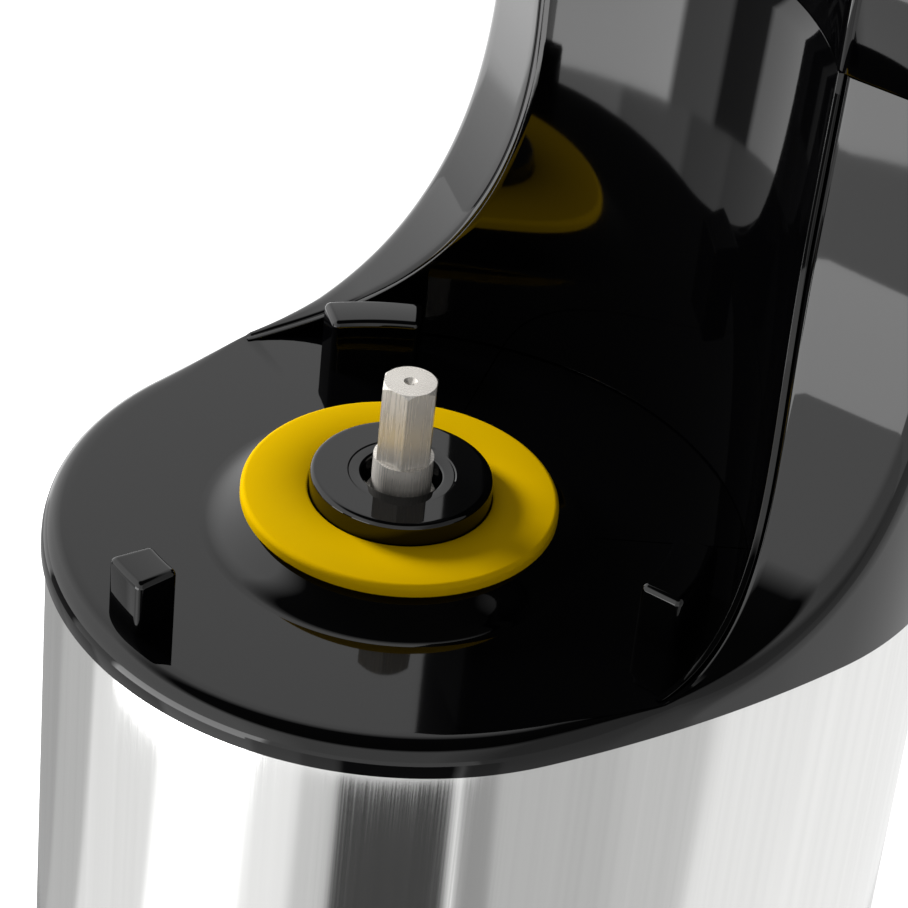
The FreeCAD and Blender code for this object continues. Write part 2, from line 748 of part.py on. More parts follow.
def bracket(low, high, floor_at_top):
    """A cup that closes one end of the motor and carries a bearing."""
    outer = number("motor_radius + bracket_wall / 2")
    inner = number("motor_radius - bracket_wall / 2")
    floor = number("bracket_floor")
    solid = cylinder(outer, low, high)
    if floor_at_top:
        solid = solid.cut(cylinder(inner, low - 1, high - floor))
        solid = solid.fuse(cylinder(number("bearing_radius + 2"), high - floor - 4, high))
        solid = solid.cut(cylinder(number("bearing_radius"), high - number("bearing_height") - 1, high + 1))
        solid = solid.cut(cylinder(number("motor_shaft_radius + 2"), low - 1, high))
    else:
        solid = solid.cut(cylinder(inner, low + floor, high + 1))
        solid = solid.fuse(cylinder(number("bearing_radius + 2"), low, low + floor + 4))
        solid = solid.cut(cylinder(number("bearing_radius"), low - 1, low + number("bearing_height") + 1))
        solid = solid.cut(cylinder(number("motor_shaft_radius + 2"), low, high + 1))
    count = int(number("window_count"))
    half = number("window_width / 2")
    rim = number("coil_clear")
    sill, head = (low + rim, high - floor - 2) if floor_at_top else (low + floor + 2, high - rim)
    for index in range(count):
        window = block(inner - rim, outer + 1, -half, half, sill, head)
        window.rotate(point(0, 0, 0), UP, (index + 0.5) * 360 / count)
        solid = solid.cut(window)
    for x, y in motor_bolt_places():
        solid = solid.cut(cylinder(number("screw_radius"), low - 1, high + 1, x, y))
    return solid.removeSplitter()


TOP_BRACKET = (STACK_TOP, BOX_LOW)
LOW_BRACKET = (STACK_LOW - number("bracket_floor + coil_height + coil_clear"), STACK_LOW)
FAN_TOP = LOW_BRACKET[0] - number("fan_gap")
FAN_LOW = FAN_TOP - number("fan_height")


def cooling_fan():
    """A flat radial fan: a disc, a hub and a ring of straight blades."""
    bore = number("motor_shaft_radius")
    disc = cylinder(number("motor_radius - fan_inset"), FAN_TOP - number("fan_plate"), FAN_TOP)
    solid = disc.fuse(cylinder(bore + 5, FAN_LOW, FAN_TOP))
    count = int(number("fan_blades"))
    for index in range(count):
        blade = block(bore + 8, number("motor_radius - fan_inset - 1"), -1, 1, FAN_LOW, FAN_TOP - 1)
        blade.rotate(point(0, 0, 0), UP, index * 360 / count)
        solid = solid.fuse(blade)
    return solid.cut(cylinder(bore, FAN_LOW - 1, FAN_TOP + 1)).removeSplitter()


def drive_shaft():
    """Round journal, turned neck and hexagonal drive end with a chamfered tip."""
    low = BOSS_TOP - number("bush_length - 2") + number("joint_gap")
    neck = DECK + number("neck_start")
    hex_low = DECK + number("hex_start")
    top = DECK + number("shaft_top")
    solid = cylinder(number("shaft_radius"), low, neck)
    solid = solid.fuse(cylinder(number("neck_radius"), neck, hex_low))
    corner = number("hex_flats") / math.sqrt(3)
    angles = [math.radians(60 * k + number("hex_turn_deg")) for k in range(6)]
    spots = [point(corner * math.cos(angle), corner * math.sin(angle), hex_low) for angle in angles]
    prism = Part.Face(Part.makePolygon(spots + spots[:1])).extrude(UP * (top - hex_low))
    chamfer = number("hex_chamfer")
    tip = Part.makeCone(corner + chamfer, corner - chamfer, 2 * chamfer, point(0, 0, top - 2 * chamfer))
    trimmed = cylinder(corner + 1, hex_low - 1, top - 2 * chamfer).fuse(tip)
    solid = solid.fuse(prism.common(trimmed))
    mark = number("centre_mark")
    solid = solid.cut(Part.makeCone(0, mark, mark, point(0, 0, top - mark)))
    low, high = clip_levels()
    groove = cylinder(number("shaft_radius + 1"), low, high)
    groove = groove.cut(cylinder(number("shaft_radius - clip_groove"), low - 1, high + 1))
    return solid.cut(groove).removeSplitter()


def clip_levels():
    low = SECOND_TOP + number("run_gap")
    return low, low + number("clip_thick")


def circlip():
    low, high = clip_levels()
    clip = cylinder(number("shaft_radius + clip_width"), low, high)
    clip = clip.cut(cylinder(number("shaft_radius - clip_groove"), low - 1, high + 1))
    mouth = number("shaft_radius / 3")
    return clip.cut(block(0, number("2 * shaft_radius"), -mouth, mouth, low - 1, high + 1))


def board_levels():
    low = DECK + number("board_rise")
    return low, low + number("board_height")


# The outside of the machine
shaped("upper_housing", upper_housing())
shaped("column_front_panel", front_panel())
shaped("column_cap", column_cap())
shaped("steel_sleeve", steel_sleeve())
shaped("base_pan", base_pan())
shaped("rubber_feet", Part.Compound([foot(x, y) for x, y in foot_places()]))
shaped("cord_gland", cord_gland())
shaped("switch_frame", switch_frame())
shaped("switch_rocker", switch_rocker())

# Ring, collar and seal round the drive shaft
turned("seal_ring", [
    ("hub_radius + joint_gap", "deck_height + mound_height"),
    ("ring_outer - ring_bevel", "deck_height + mound_height"),
    ("ring_outer", "deck_height + mound_height + ring_bevel"),
    ("ring_outer", "deck_height + mound_height + ring_thick - ring_bevel / 2"),
    ("ring_outer - ring_bevel / 2", "deck_height + mound_height + ring_thick"),
    ("hub_radius + joint_gap", "deck_height + mound_height + ring_thick"),
])
turned("hub_collar", [
    ("shaft_radius + bush_wall", "deck_height - cover_drop"),
    ("hub_radius", "deck_height - cover_drop"),
    ("hub_radius", "deck_height + hub_height - 4"),
    ("hub_radius - 0.6", "deck_height + hub_height - 1.6"),
    ("hub_top_radius", "deck_height + hub_height"),
    ("hub_bore + 0.6", "deck_height + hub_height"),
    ("hub_bore", "deck_height + hub_height - 0.6"),
    ("hub_bore", "deck_height + neck_start - 2"),
    ("shaft_radius + bush_wall", "deck_height + neck_start - 2"),
])
ring("shaft_seal", "shaft_radius + run_gap", "shaft_radius + bush_wall",
     "deck_height + neck_start - 6", "deck_height + neck_start - 2")
ring("upper_bush", "shaft_radius + run_gap", "shaft_radius + bush_wall",
     "deck_height - cover_drop - cover_thick", "deck_height - cover_drop - cover_thick + bush_length")
ring("lower_bush", "shaft_radius + run_gap", "shaft_radius + bush_wall",
     "deck_height - gearbox_drop + gearbox_wall + bush_boss_height + 2 - bush_length",
     "deck_height - gearbox_drop + gearbox_wall + bush_boss_height")

# Drive shaft and gear train
shaped("drive_shaft", drive_shaft())
line_second = math.degrees(math.atan2(IDLER_Y, IDLER_X))
line_first = math.degrees(math.atan2(MOTOR_Y - IDLER_Y, -IDLER_X))
teeth, small_teeth = number("wheel_teeth"), number("pinion_teeth")
output_turn = line_second
second_pinion_turn = meshing_turn(output_turn, teeth, line_second, small_teeth)
first_wheel_turn = line_first
motor_pinion_turn = meshing_turn(first_wheel_turn, teeth, line_first, small_teeth)
play = number("axle_radius + run_gap")
shaped("output_gear", gear(number("second_module"), teeth, output_turn, number("shaft_radius"),
                           SECOND_LOW, SECOND_TOP))
shaped("circlip", circlip())
shaped("intermediate_gear", gear(number("first_module"), teeth, first_wheel_turn, play,
                                 FIRST_LOW, FIRST_TOP), "idler_x", "idler_y")
shaped("intermediate_pinion", gear(number("second_module"), small_teeth, second_pinion_turn, play,
                                   FIRST_TOP, SECOND_TOP), "idler_x", "idler_y")
ring("intermediate_axle", "0", "axle_radius", "deck_height - gearbox_drop + 1",
     "deck_height - cover_drop - 1", "idler_x", "idler_y")
shaped("gearbox_base", gearbox_base())
shaped("gearbox_cover", gearbox_cover())
shaped("gearbox_screws", screws(gearbox_screw_places(), SCREW_SEAT, HOUSING_SCREW_TOP,
                                number("screw_radius"), number("screw_head"),
                                number("screw_head_height")))

# Motor
shaped("motor_pinion", gear(number("first_module"), small_teeth, motor_pinion_turn,
                            number("motor_shaft_radius"), FLOOR_TOP + 2, FIRST_TOP + 1), "0", "motor_y")
stack_top = "deck_height - gearbox_drop - bracket_floor - coil_height - coil_clear"
stack_low = f"{stack_top} - stack_height"
fan_low = f"{stack_low} - bracket_floor - coil_height - coil_clear - fan_gap - fan_height"
gear_top = "deck_height - gearbox_drop + gearbox_wall + gear_space / 2 + first_width"
ring("motor_shaft", "0", "motor_shaft_radius", f"{fan_low} - 2", f"{gear_top} + 2", "0", "motor_y")
ring("rotor_core", "motor_shaft_radius", "rotor_radius", stack_low, stack_top, "0", "motor_y")
shaped("stator_core", stator_core(), "0", "motor_y")
coil_inner, coil_outer = number("rotor_radius + tooth_lip + 1"), number("motor_radius - yoke + 1")
coils = [cylinder(coil_outer, low, low + number("coil_height")).cut(
    cylinder(coil_inner, low - 1, low + 50)) for low in (STACK_TOP, STACK_LOW - number("coil_height"))]
shaped("stator_coils", Part.Compound(coils), "0", "motor_y")
shaped("motor_top_bracket", bracket(*TOP_BRACKET, True), "0", "motor_y")
shaped("motor_bottom_bracket", bracket(*LOW_BRACKET, False), "0", "motor_y")
bearing_lows = (TOP_BRACKET[1] - number("bearing_height") - 1, LOW_BRACKET[0] + 1)
bearings = [cylinder(number("bearing_radius"), low, low + number("bearing_height")).cut(
    cylinder(number("motor_shaft_radius + run_gap"), low - 1, low + 20)) for low in bearing_lows]
shaped("motor_bearings", Part.Compound(bearings), "0", "motor_y")
shaped("cooling_fan", cooling_fan(), "0", "motor_y")

shaped("motor_bolts", screws(motor_bolt_places(), LOW_BRACKET[0], BOX_LOW + number("bolt_grip"),
                             number("screw_radius"), number("screw_head"),
                             number("fan_gap / 2")), "0", "motor_y")
shaped("tie_rods", screws(foot_places(), number("pan_bottom + foot_seat"), SEAM,
                          number("rod_radius"), number("rod_head"), number("rod_head_height")))

# Electrics
half_board = number("board_width / 2")
shaped("circuit_board", block(-half_board, half_board, BOARD_Y, BOARD_Y + number("board_thick"),
                              *board_levels()))
floor_top = number("pan_bottom + shell_wall")
shaped("run_capacitor", cylinder(number("capacitor_radius"), floor_top,
                                 floor_top + number("capacitor_height"), 0, CAPACITOR_Y))

doc.recompute()

faults = [item.Name for item in doc.Objects if {"Invalid", "Error"} & set(item.State)]
for piece in pieces:
    if piece.Shape.isNull() or not piece.Shape.isValid():
        faults.append(piece.Label)
if faults:
    raise RuntimeError("failed objects: " + ", ".join(sorted(set(faults))))

os.makedirs("parts", exist_ok=True)
for piece in pieces:
    piece.Shape.exportStep("parts/" + piece.Label + ".step")
    print(piece.Label, len(piece.Shape.Solids), round(piece.Shape.Volume / 1000, 2), "cm3")
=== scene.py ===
import json
import math

import bmesh
import bpy
from mathutils import Matrix, Vector

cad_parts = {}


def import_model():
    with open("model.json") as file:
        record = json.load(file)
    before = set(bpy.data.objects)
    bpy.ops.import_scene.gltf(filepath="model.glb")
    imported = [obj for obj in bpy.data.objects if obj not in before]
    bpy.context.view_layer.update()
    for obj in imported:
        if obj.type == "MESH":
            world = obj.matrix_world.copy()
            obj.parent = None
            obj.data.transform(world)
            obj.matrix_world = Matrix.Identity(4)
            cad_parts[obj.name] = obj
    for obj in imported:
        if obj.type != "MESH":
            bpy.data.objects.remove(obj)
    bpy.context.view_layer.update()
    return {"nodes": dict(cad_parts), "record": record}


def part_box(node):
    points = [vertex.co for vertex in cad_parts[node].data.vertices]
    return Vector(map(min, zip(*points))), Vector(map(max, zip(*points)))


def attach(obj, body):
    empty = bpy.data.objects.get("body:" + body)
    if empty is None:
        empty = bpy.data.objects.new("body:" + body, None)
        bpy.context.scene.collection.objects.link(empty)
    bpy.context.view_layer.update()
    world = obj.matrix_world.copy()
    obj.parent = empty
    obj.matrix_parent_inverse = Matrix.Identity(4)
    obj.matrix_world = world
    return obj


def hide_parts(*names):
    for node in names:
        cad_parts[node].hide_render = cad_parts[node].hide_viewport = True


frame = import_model()

MM = 0.001

# Places read from the frame
mounts = {mount["name"]: mount for mount in frame["record"]["mounts"]}
SHAFT_Y = mounts["drive_neck"]["pos_m"][1]
DECK = mounts["deck_plane"]["pos_m"][2]
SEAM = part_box("steel_sleeve")[1][2]
COLUMN_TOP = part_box("column_front_panel")[1][2]
CAP_LOW, CAP_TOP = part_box("column_cap")[0][2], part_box("column_cap")[1][2]
HALF_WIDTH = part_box("upper_housing")[1][0]
REAR_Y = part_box("upper_housing")[1][1] - SHAFT_Y
FRONT_RADIUS = SHAFT_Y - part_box("upper_housing")[0][1]

# The body's outline from above: a round front, long side arcs and a round rear
WIDEST_Y = 50 * MM
REAR_CENTRE_Y = 60 * MM
SIDE_RADIUS = ((FRONT_RADIUS ** 2 - HALF_WIDTH ** 2 - WIDEST_Y ** 2)
               / (2 * (FRONT_RADIUS - HALF_WIDTH)))
REAR_RADIUS = REAR_Y - REAR_CENTRE_Y
FRONT_LEAN = math.atan2(WIDEST_Y, SIDE_RADIUS - HALF_WIDTH)
REAR_LEAN = math.atan2(REAR_CENTRE_Y - WIDEST_Y, SIDE_RADIUS - HALF_WIDTH)

# The bowl's concave wall and the wings that sweep down beside it
WALL_RADIUS = 82 * MM
WALL_DRAFT = math.tan(math.radians(1))
PANEL_WALL = 1.5 * MM
JOINT_GAP = 0.3 * MM
WING_SLOPE = 0.36
WING_START, WING_KNEE, WING_TOP_Y = -26 * MM, 15 * MM, 50 * MM
WING_TURN, WING_TOP = 20 * MM, 90 * MM
RIM_ROUND = 6 * MM
BEAD_ROUND = 1.3 * MM


def vector(x, y, z):
    """A point given about the drive shaft's axis, moved into the frame."""
    return Vector((x, y + SHAFT_Y, z))


def outline_half(inset=0.0, front_steps=56, side_steps=40, rear_steps=44):
    """Points of the right half of the outline, from the front middle to the rear middle."""
    points = []
    for step in range(front_steps):
        angle = -math.pi / 2 + (math.pi / 2 - FRONT_LEAN) * step / front_steps
        radius = FRONT_RADIUS - inset
        points.append((radius * math.cos(angle), radius * math.sin(angle)))
    for step in range(side_steps):
        angle = -FRONT_LEAN + (FRONT_LEAN + REAR_LEAN) * step / side_steps
        radius = SIDE_RADIUS - inset
        centre_x = HALF_WIDTH - SIDE_RADIUS
        points.append((centre_x + radius * math.cos(angle), WIDEST_Y + radius * math.sin(angle)))
    for step in range(rear_steps + 1):
        angle = REAR_LEAN + (math.pi / 2 - REAR_LEAN) * step / rear_steps
        radius = REAR_RADIUS - inset
        points.append((radius * math.cos(angle), REAR_CENTRE_Y + radius * math.sin(angle)))
    return points


FRONT_RUN = FRONT_RADIUS * (math.pi / 2 - FRONT_LEAN)
SIDE_RUN = SIDE_RADIUS * (FRONT_LEAN + REAR_LEAN)
REAR_RUN = REAR_RADIUS * (math.pi / 2 - REAR_LEAN)
FULL_RUN = FRONT_RUN + SIDE_RUN + REAR_RUN


def outline_at(run):
    """The right outline's point at a distance along it from the front middle."""
    if run < FRONT_RUN:
        angle = -math.pi / 2 + run / FRONT_RADIUS
        return FRONT_RADIUS * math.cos(angle), FRONT_RADIUS * math.sin(angle)
    if run < FRONT_RUN + SIDE_RUN:
        angle = -FRONT_LEAN + (run - FRONT_RUN) / SIDE_RADIUS
        return (HALF_WIDTH - SIDE_RADIUS + SIDE_RADIUS * math.cos(angle),
                WIDEST_Y + SIDE_RADIUS * math.sin(angle))
    angle = REAR_LEAN + (run - FRONT_RUN - SIDE_RUN) / REAR_RADIUS
    return REAR_RADIUS * math.cos(angle), REAR_CENTRE_Y + REAR_RADIUS * math.sin(angle)


def run_at_reach(reach):
    """How far along the outline the wing's line at this reach meets it."""
    low, high = 0.0, FULL_RUN
    for _ in range(50):
        middle = (low + high) / 2
        x, y = outline_at(middle)
        if y - WING_SLOPE * x < reach:
            low = middle
        else:
            high = middle
    return low


def outline(inset=0.0):
    """The whole outline, anticlockwise from the front middle."""
    right = outline_half(inset)
    left = [(-x, y) for x, y in reversed(right[1:-1])]
    return right + left


def sweep_point(t):
    """The wings' side profile: a cubic curve from level on the deck to upright."""
    a, b, c, d = (1 - t) ** 3, 3 * t * (1 - t) ** 2, 3 * t * t * (1 - t), t ** 3
    y = a * WING_START + b * WING_KNEE + c * WING_TOP_Y + d * WING_TOP_Y
    z = c * WING_TURN + d * WING_TOP
    return y, z


def sweep_reach(height):
    """How far back the wing's profile is at a height above the deck."""
    if height >= WING_TOP:
        return WING_TOP_Y
    low, high = 0.0, 1.0
    for _ in range(40):
        middle = (low + high) / 2
        if sweep_point(middle)[1] < height:
            low = middle
        else:
            high = middle
    return sweep_point(low)[0]


def wall_radius(height):
    """The concave wall's radius about the shaft, at a height above the deck."""
    return WALL_RADIUS + height * WALL_DRAFT


def bead_point(height, radius, back=0.0):
    """Where the right wing's surface meets a circle about the shaft, at a height above the deck."""
    reach = sweep_reach(height) + back
    a = 1 + WING_SLOPE ** 2
    b = 2 * WING_SLOPE * reach
    c = reach ** 2 - radius ** 2
    x = (-b + math.sqrt(b * b - 4 * a * c)) / (2 * a)
    return x, reach + WING_SLOPE * x


# Mesh helpers


def finish(name, bm, smooth_deg=35):
    """Turns a bmesh into an object at the origin, smooth except at sharp edges."""
    bmesh.ops.remove_doubles(bm, verts=bm.verts, dist=1e-6)
    bmesh.ops.recalc_face_normals(bm, faces=bm.faces)
    for edge in bm.edges:
        if len(edge.link_faces) == 2:
            edge.smooth = edge.calc_face_angle(0) < math.radians(smooth_deg)
    for face in bm.faces:
        face.smooth = True
    mesh = bpy.data.meshes.new(name)
    bm.to_mesh(mesh)
    bm.free()
    piece = bpy.data.objects.new(name, mesh)
    bpy.context.scene.collection.objects.link(piece)
    return piece


def loop_of(bm, points, closed=True):
    """A line of edges through points."""
    verts = [bm.verts.new(p) for p in points]
    pairs = list(zip(verts, verts[1:])) + ([(verts[-1], verts[0])] if closed else [])
    return [bm.edges.new(pair) for pair in pairs]


def skin_rows(bm, rows, closed=True):
    """Bridges each row of points to the next."""
    last = loop_of(bm, rows[0], closed)
    for row in rows[1:]:
        following = loop_of(bm, row, closed)
        bmesh.ops.bridge_loops(bm, edges=last + following)
        last = following


def bevel(bm, edges, width, segments=3):
    """Rounds edges, by less where there is no room."""
    return bmesh.ops.bevel(bm, geom=edges, offset=width, offset_type="OFFSET", segments=segments,
                           profile=0.5, affect="EDGES", clamp_overlap=True, material=-1)


def spun(name, profile, steps=128, smooth_deg=35):
    """A body turned about the shaft's axis from (radius, height) points."""
    bm = bmesh.new()
    edges = loop_of(bm, [vector(radius, 0, height) for radius, height in profile], closed=False)
    verts = list({vert for edge in edges for vert in edge.verts})
    bmesh.ops.spin(bm, geom=verts + edges, cent=vector(0, 0, 0), axis=(0, 0, 1),
                   angle=2 * math.pi, steps=steps, use_merge=True, use_duplicate=False)
    return finish(name, bm, smooth_deg)


def arc_profile(centre, radius, start_deg, end_deg, steps):
    """Points (radius, height) along an arc in the turning plane."""
    points = []
    for step in range(steps + 1):
        angle = math.radians(start_deg + (end_deg - start_deg) * step / steps)
        points.append((centre[0] + radius * math.cos(angle), centre[1] + radius * math.sin(angle)))
    return points


# Materials


def node_group(name, inputs, outputs):
    """An empty node group with its sockets, and the nodes for both its ends."""
    group = bpy.data.node_groups.new(name, "ShaderNodeTree")
    for label, kind, value in inputs:
        socket = group.interface.new_socket(label, in_out="INPUT", socket_type=kind)
        socket.default_value = value
    for label, kind in outputs:
        group.interface.new_socket(label, in_out="OUTPUT", socket_type=kind)
    return group, group.nodes.new("NodeGroupInput"), group.nodes.new("NodeGroupOutput")


def maths(tree, operation, a, b=None):
    """A sum on numbers or sockets."""
    node = tree.nodes.new("ShaderNodeMath")
    node.operation = operation
    for index, value in enumerate((a, b)):
        if value is None:
            continue
        if isinstance(value, (int, float)):
            node.inputs[index].default_value = value
        else:
            tree.links.new(value, node.inputs[index])
    return node.outputs[0]


def spread(tree, value, low_in, high_in, low_out, high_out):
    """A value carried from one range to another, held at the ends."""
    node = tree.nodes.new("ShaderNodeMapRange")
    for label, number in (("From Min", low_in), ("From Max", high_in),
                          ("To Min", low_out), ("To Max", high_out)):
        node.inputs[label].default_value = number
    tree.links.new(value, node.inputs["Value"])
    return node.outputs["Result"]


def mixed(tree, factor, first, second):
    """A colour between two colours or sockets."""
    node = tree.nodes.new("ShaderNodeMix")
    node.data_type = "RGBA"
    tree.links.new(factor, node.inputs[0])
    for socket, colour in ((node.inputs[6], first), (node.inputs[7], second)):
        if isinstance(colour, tuple):
            socket.default_value = (*colour, 1)
        else:
            tree.links.new(colour, socket)
    return node.outputs[2]


def make_surface_wear():
    """Faint cloudiness and pin-prick dust, for moulded and rubber faces."""
    group, source, result = node_group(
        "surface_variation",
        [("Vector", "NodeSocketVector", (0, 0, 0)), ("Cloud scale", "NodeSocketFloat", 30.0),
         ("Grain scale", "NodeSocketFloat", 900.0)],
        [("Cloud", "NodeSocketFloat"), ("Grain", "NodeSocketFloat")])
    for label, output in (("Cloud scale", "Cloud"), ("Grain scale", "Grain")):
        node = group.nodes.new("ShaderNodeTexNoise")
        node.inputs["Detail"].default_value = 3
        group.links.new(source.outputs["Vector"], node.inputs["Vector"])
        group.links.new(source.outputs[label], node.inputs["Scale"])
        group.links.new(node.outputs["Fac"], result.inputs[output])
    return group


def make_brush_lines():
    """Fine straight grain: noise drawn out along one direction."""
    group, source, result = node_group(
        "brush_lines",
        [("Vector", "NodeSocketVector", (0, 0, 0)), ("Stretch", "NodeSocketVector", (1, 1, 1))],
        [("Fine", "NodeSocketFloat"), ("Broad", "NodeSocketFloat")])
    product = group.nodes.new("ShaderNodeVectorMath")
    product.operation = "MULTIPLY"
    group.links.new(source.outputs["Vector"], product.inputs[0])
    group.links.new(source.outputs["Stretch"], product.inputs[1])
    for output, scale, detail in (("Fine", 1.0, 4), ("Broad", 0.12, 2)):
        node = group.nodes.new("ShaderNodeTexNoise")
        node.inputs["Scale"].default_value = scale
        node.inputs["Detail"].default_value = detail
        group.links.new(product.outputs[0], node.inputs["Vector"])
        group.links.new(node.outputs["Fac"], result.inputs[output])
    return group


SURFACE_VARIATION = make_surface_wear()
BRUSH_LINES = make_brush_lines()


def new_material(name):
    """A material with its shader, and the object's own coordinates."""
    material = bpy.data.materials.new(name)
    material.use_nodes = True
    tree = material.node_tree
    shader = tree.nodes["Principled BSDF"]
    place = tree.nodes.new("ShaderNodeTexCoord").outputs["Object"]
    return material, tree, shader, place


def add_bump(tree, shader, height, strength, distance):
    """A fine relief, in the shading alone."""
    node = tree.nodes.new("ShaderNodeBump")
    node.inputs["Strength"].default_value = strength
    node.inputs["Distance"].default_value = distance
    tree.links.new(height, node.inputs["Height"])
    tree.links.new(node.outputs["Normal"], shader.inputs["Normal"])


def variation(tree, place, cloud_scale, grain_scale):
    """The cloud and grain of moulded and rubber faces."""
    node = tree.nodes.new("ShaderNodeGroup")
    node.node_tree = SURFACE_VARIATION
    node.inputs["Cloud scale"].default_value = cloud_scale
    node.inputs["Grain scale"].default_value = grain_scale
    tree.links.new(place, node.inputs["Vector"])
    return node.outputs["Cloud"], node.outputs["Grain"]


def moulded(name, dark, light, rough_low, rough_high, cloud_scale, grain_scale, bump, depth, ior=1.5):
    """Moulded plastic or rubber: two close tones, uneven gloss and a fine relief."""
    material, tree, shader, place = new_material(name)
    cloud, grain = variation(tree, place, cloud_scale, grain_scale)
    tree.links.new(mixed(tree, cloud, dark, light), shader.inputs["Base Color"])
    tree.links.new(spread(tree, cloud, 0.3, 0.7, rough_low, rough_high), shader.inputs["Roughness"])
    shader.inputs["IOR"].default_value = ior
    add_bump(tree, shader, grain, bump, depth)
    return material


def brushed(name, dark, light, stretch, rough_low, rough_high, bump, metallic=1.0):
    """Brushed metal: streaks in colour, gloss and relief along the brushing."""
    material, tree, shader, place = new_material(name)
    node = tree.nodes.new("ShaderNodeGroup")
    node.node_tree = BRUSH_LINES
    node.inputs["Stretch"].default_value = stretch
    tree.links.new(place, node.inputs["Vector"])
    tree.links.new(mixed(tree, node.outputs["Broad"], dark, light), shader.inputs["Base Color"])
    tree.links.new(spread(tree, node.outputs["Fine"], 0.3, 0.7, rough_low, rough_high),
                   shader.inputs["Roughness"])
    shader.inputs["Metallic"].default_value = metallic
    add_bump(tree, shader, node.outputs["Fine"], bump, 0.00004)
    return material


def wound_copper():
    """Enamelled winding: fine bands round the coil."""
    material, tree, shader, place = new_material("wound_copper")
    bands = tree.nodes.new("ShaderNodeTexWave")
    bands.bands_direction = "Z"
    bands.inputs["Scale"].default_value = 400
    tree.links.new(place, bands.inputs["Vector"])
    tree.links.new(mixed(tree, bands.outputs["Fac"], (0.25, 0.07, 0.02), (0.62, 0.26, 0.09)),
                   shader.inputs["Base Color"])
    shader.inputs["Metallic"].default_value = 0.8
    shader.inputs["Roughness"].default_value = 0.35
    add_bump(tree, shader, bands.outputs["Fac"], 0.5, 0.0003)
    return material


def stacked_lamination():
    """Thin steel sheets one on another."""
    material, tree, shader, place = new_material("stacked_lamination")
    bands = tree.nodes.new("ShaderNodeTexWave")
    bands.bands_direction = "Z"
    bands.inputs["Scale"].default_value = 320
    bands.inputs["Distortion"].default_value = 0.6
    tree.links.new(place, bands.inputs["Vector"])
    tree.links.new(mixed(tree, bands.outputs["Fac"], (0.08, 0.085, 0.09), (0.32, 0.33, 0.34)),
                   shader.inputs["Base Color"])
    shader.inputs["Metallic"].default_value = 0.7
    shader.inputs["Roughness"].default_value = 0.5
    add_bump(tree, shader, bands.outputs["Fac"], 0.4, 0.0002)
    return material


MATERIALS = {
    "black_gloss": moulded("black_gloss", (0.0006, 0.0006, 0.0008), (0.0011, 0.0011, 0.0013),
                           0.03, 0.05, 14, 260, 0.02, 0.00004),
    "black_matt": moulded("black_matt", (0.012, 0.012, 0.013), (0.02, 0.02, 0.021),
                          0.5, 0.62, 30, 1800, 0.35, 0.0002),
    "brushed_steel": brushed("brushed_steel", (0.80, 0.80, 0.79), (0.90, 0.90, 0.89),
                             (3200, 3200, 10), 0.07, 0.14, 0.04),
    "yellow_silicone": moulded("yellow_silicone", (0.74, 0.45, 0.0), (0.80, 0.50, 0.0),
                               0.45, 0.55, 40, 1500, 0.10, 0.0001, 1.08),
    "black_rubber": moulded("black_rubber", (0.010, 0.010, 0.010), (0.022, 0.022, 0.022),
                            0.62, 0.8, 60, 1600, 0.4, 0.0002),
    "shaft_steel": brushed("shaft_steel", (0.80, 0.76, 0.70), (0.92, 0.88, 0.82),
                           (1800, 1800, 60), 0.22, 0.32, 0.06, 0.4),
    "gear_plastic": moulded("gear_plastic", (0.66, 0.64, 0.56), (0.78, 0.76, 0.70),
                            0.35, 0.5, 50, 1200, 0.1, 0.0001),
    "gear_steel": brushed("gear_steel", (0.22, 0.22, 0.23), (0.42, 0.42, 0.43),
                          (900, 900, 900), 0.3, 0.45, 0.2),
    "bronze": brushed("bronze", (0.38, 0.22, 0.09), (0.60, 0.40, 0.18), (1200, 1200, 1200),
                      0.35, 0.5, 0.2),
    "zinc_steel": brushed("zinc_steel", (0.48, 0.50, 0.52), (0.68, 0.69, 0.70), (700, 700, 60),
                          0.22, 0.36, 0.08),
    "aluminium": brushed("aluminium", (0.46, 0.47, 0.48), (0.62, 0.63, 0.64), (500, 500, 500),
                         0.42, 0.6, 0.3),
    "lamination": stacked_lamination(),
    "copper": wound_copper(),
    "board": moulded("board", (0.006, 0.08, 0.03), (0.012, 0.13, 0.05), 0.3, 0.45, 60, 900, 0.2, 0.0002),
    "can": moulded("can", (0.55, 0.56, 0.57), (0.68, 0.69, 0.70), 0.35, 0.5, 40, 900, 0.1, 0.0001),
}


def dress(piece, slot, body="frame", stands_for=()):
    """Gives a piece its material, its body and the nodes that it stands for."""
    piece.data.materials.clear()
    piece.data.materials.append(MATERIALS[slot])
    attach(piece, body)
    if stands_for:
        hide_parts(*stands_for)
    return piece


def dress_frame_nodes():
    """Every node of the frame gets the material of its slot."""
    slots = {item["node"]: item["material_slot"] for item in frame["record"]["subparts"]}
    for name, node in frame["nodes"].items():
        node.data.materials.clear()
        node.data.materials.append(MATERIALS[slots[name]])


# The black upper moulding


RIM_STEPS, SWEEP_STEPS, UPRIGHT_STEPS = 64, 72, 6     # stations along the rim
ROUND_STEPS, BEAD_STEPS = 8, 5                        # points round the rim and the wing's inner edge
SUPPORT = 0.6 * MM                                    # a row beside each rounding keeps flat faces flat
BEAD_SUPPORT = 0.4 * MM
NARROWEST_WING = 2.6 * MM
FADE_STEPS = 16                                       # stations over which the rounding narrows
RIM_SHARE, BEAD_SHARE = 0.6, 0.3                      # how much of a narrow wing each rounding takes
MOUND_FOOT = 46 * MM


def beside(line, distances):
    """Points of a (run, height) line moved square to it, to the side below and behind."""
    moved = []
    for index, (run, height) in enumerate(line):
        before, after = line[max(index - 1, 0)], line[min(index + 1, len(line) - 1)]
        along, rise = after[0] - before[0], after[1] - before[1]
        length = math.hypot(along, rise)
        distance = distances[index]
        moved.append((run + distance * rise / length, height - distance * along / length))
    return moved


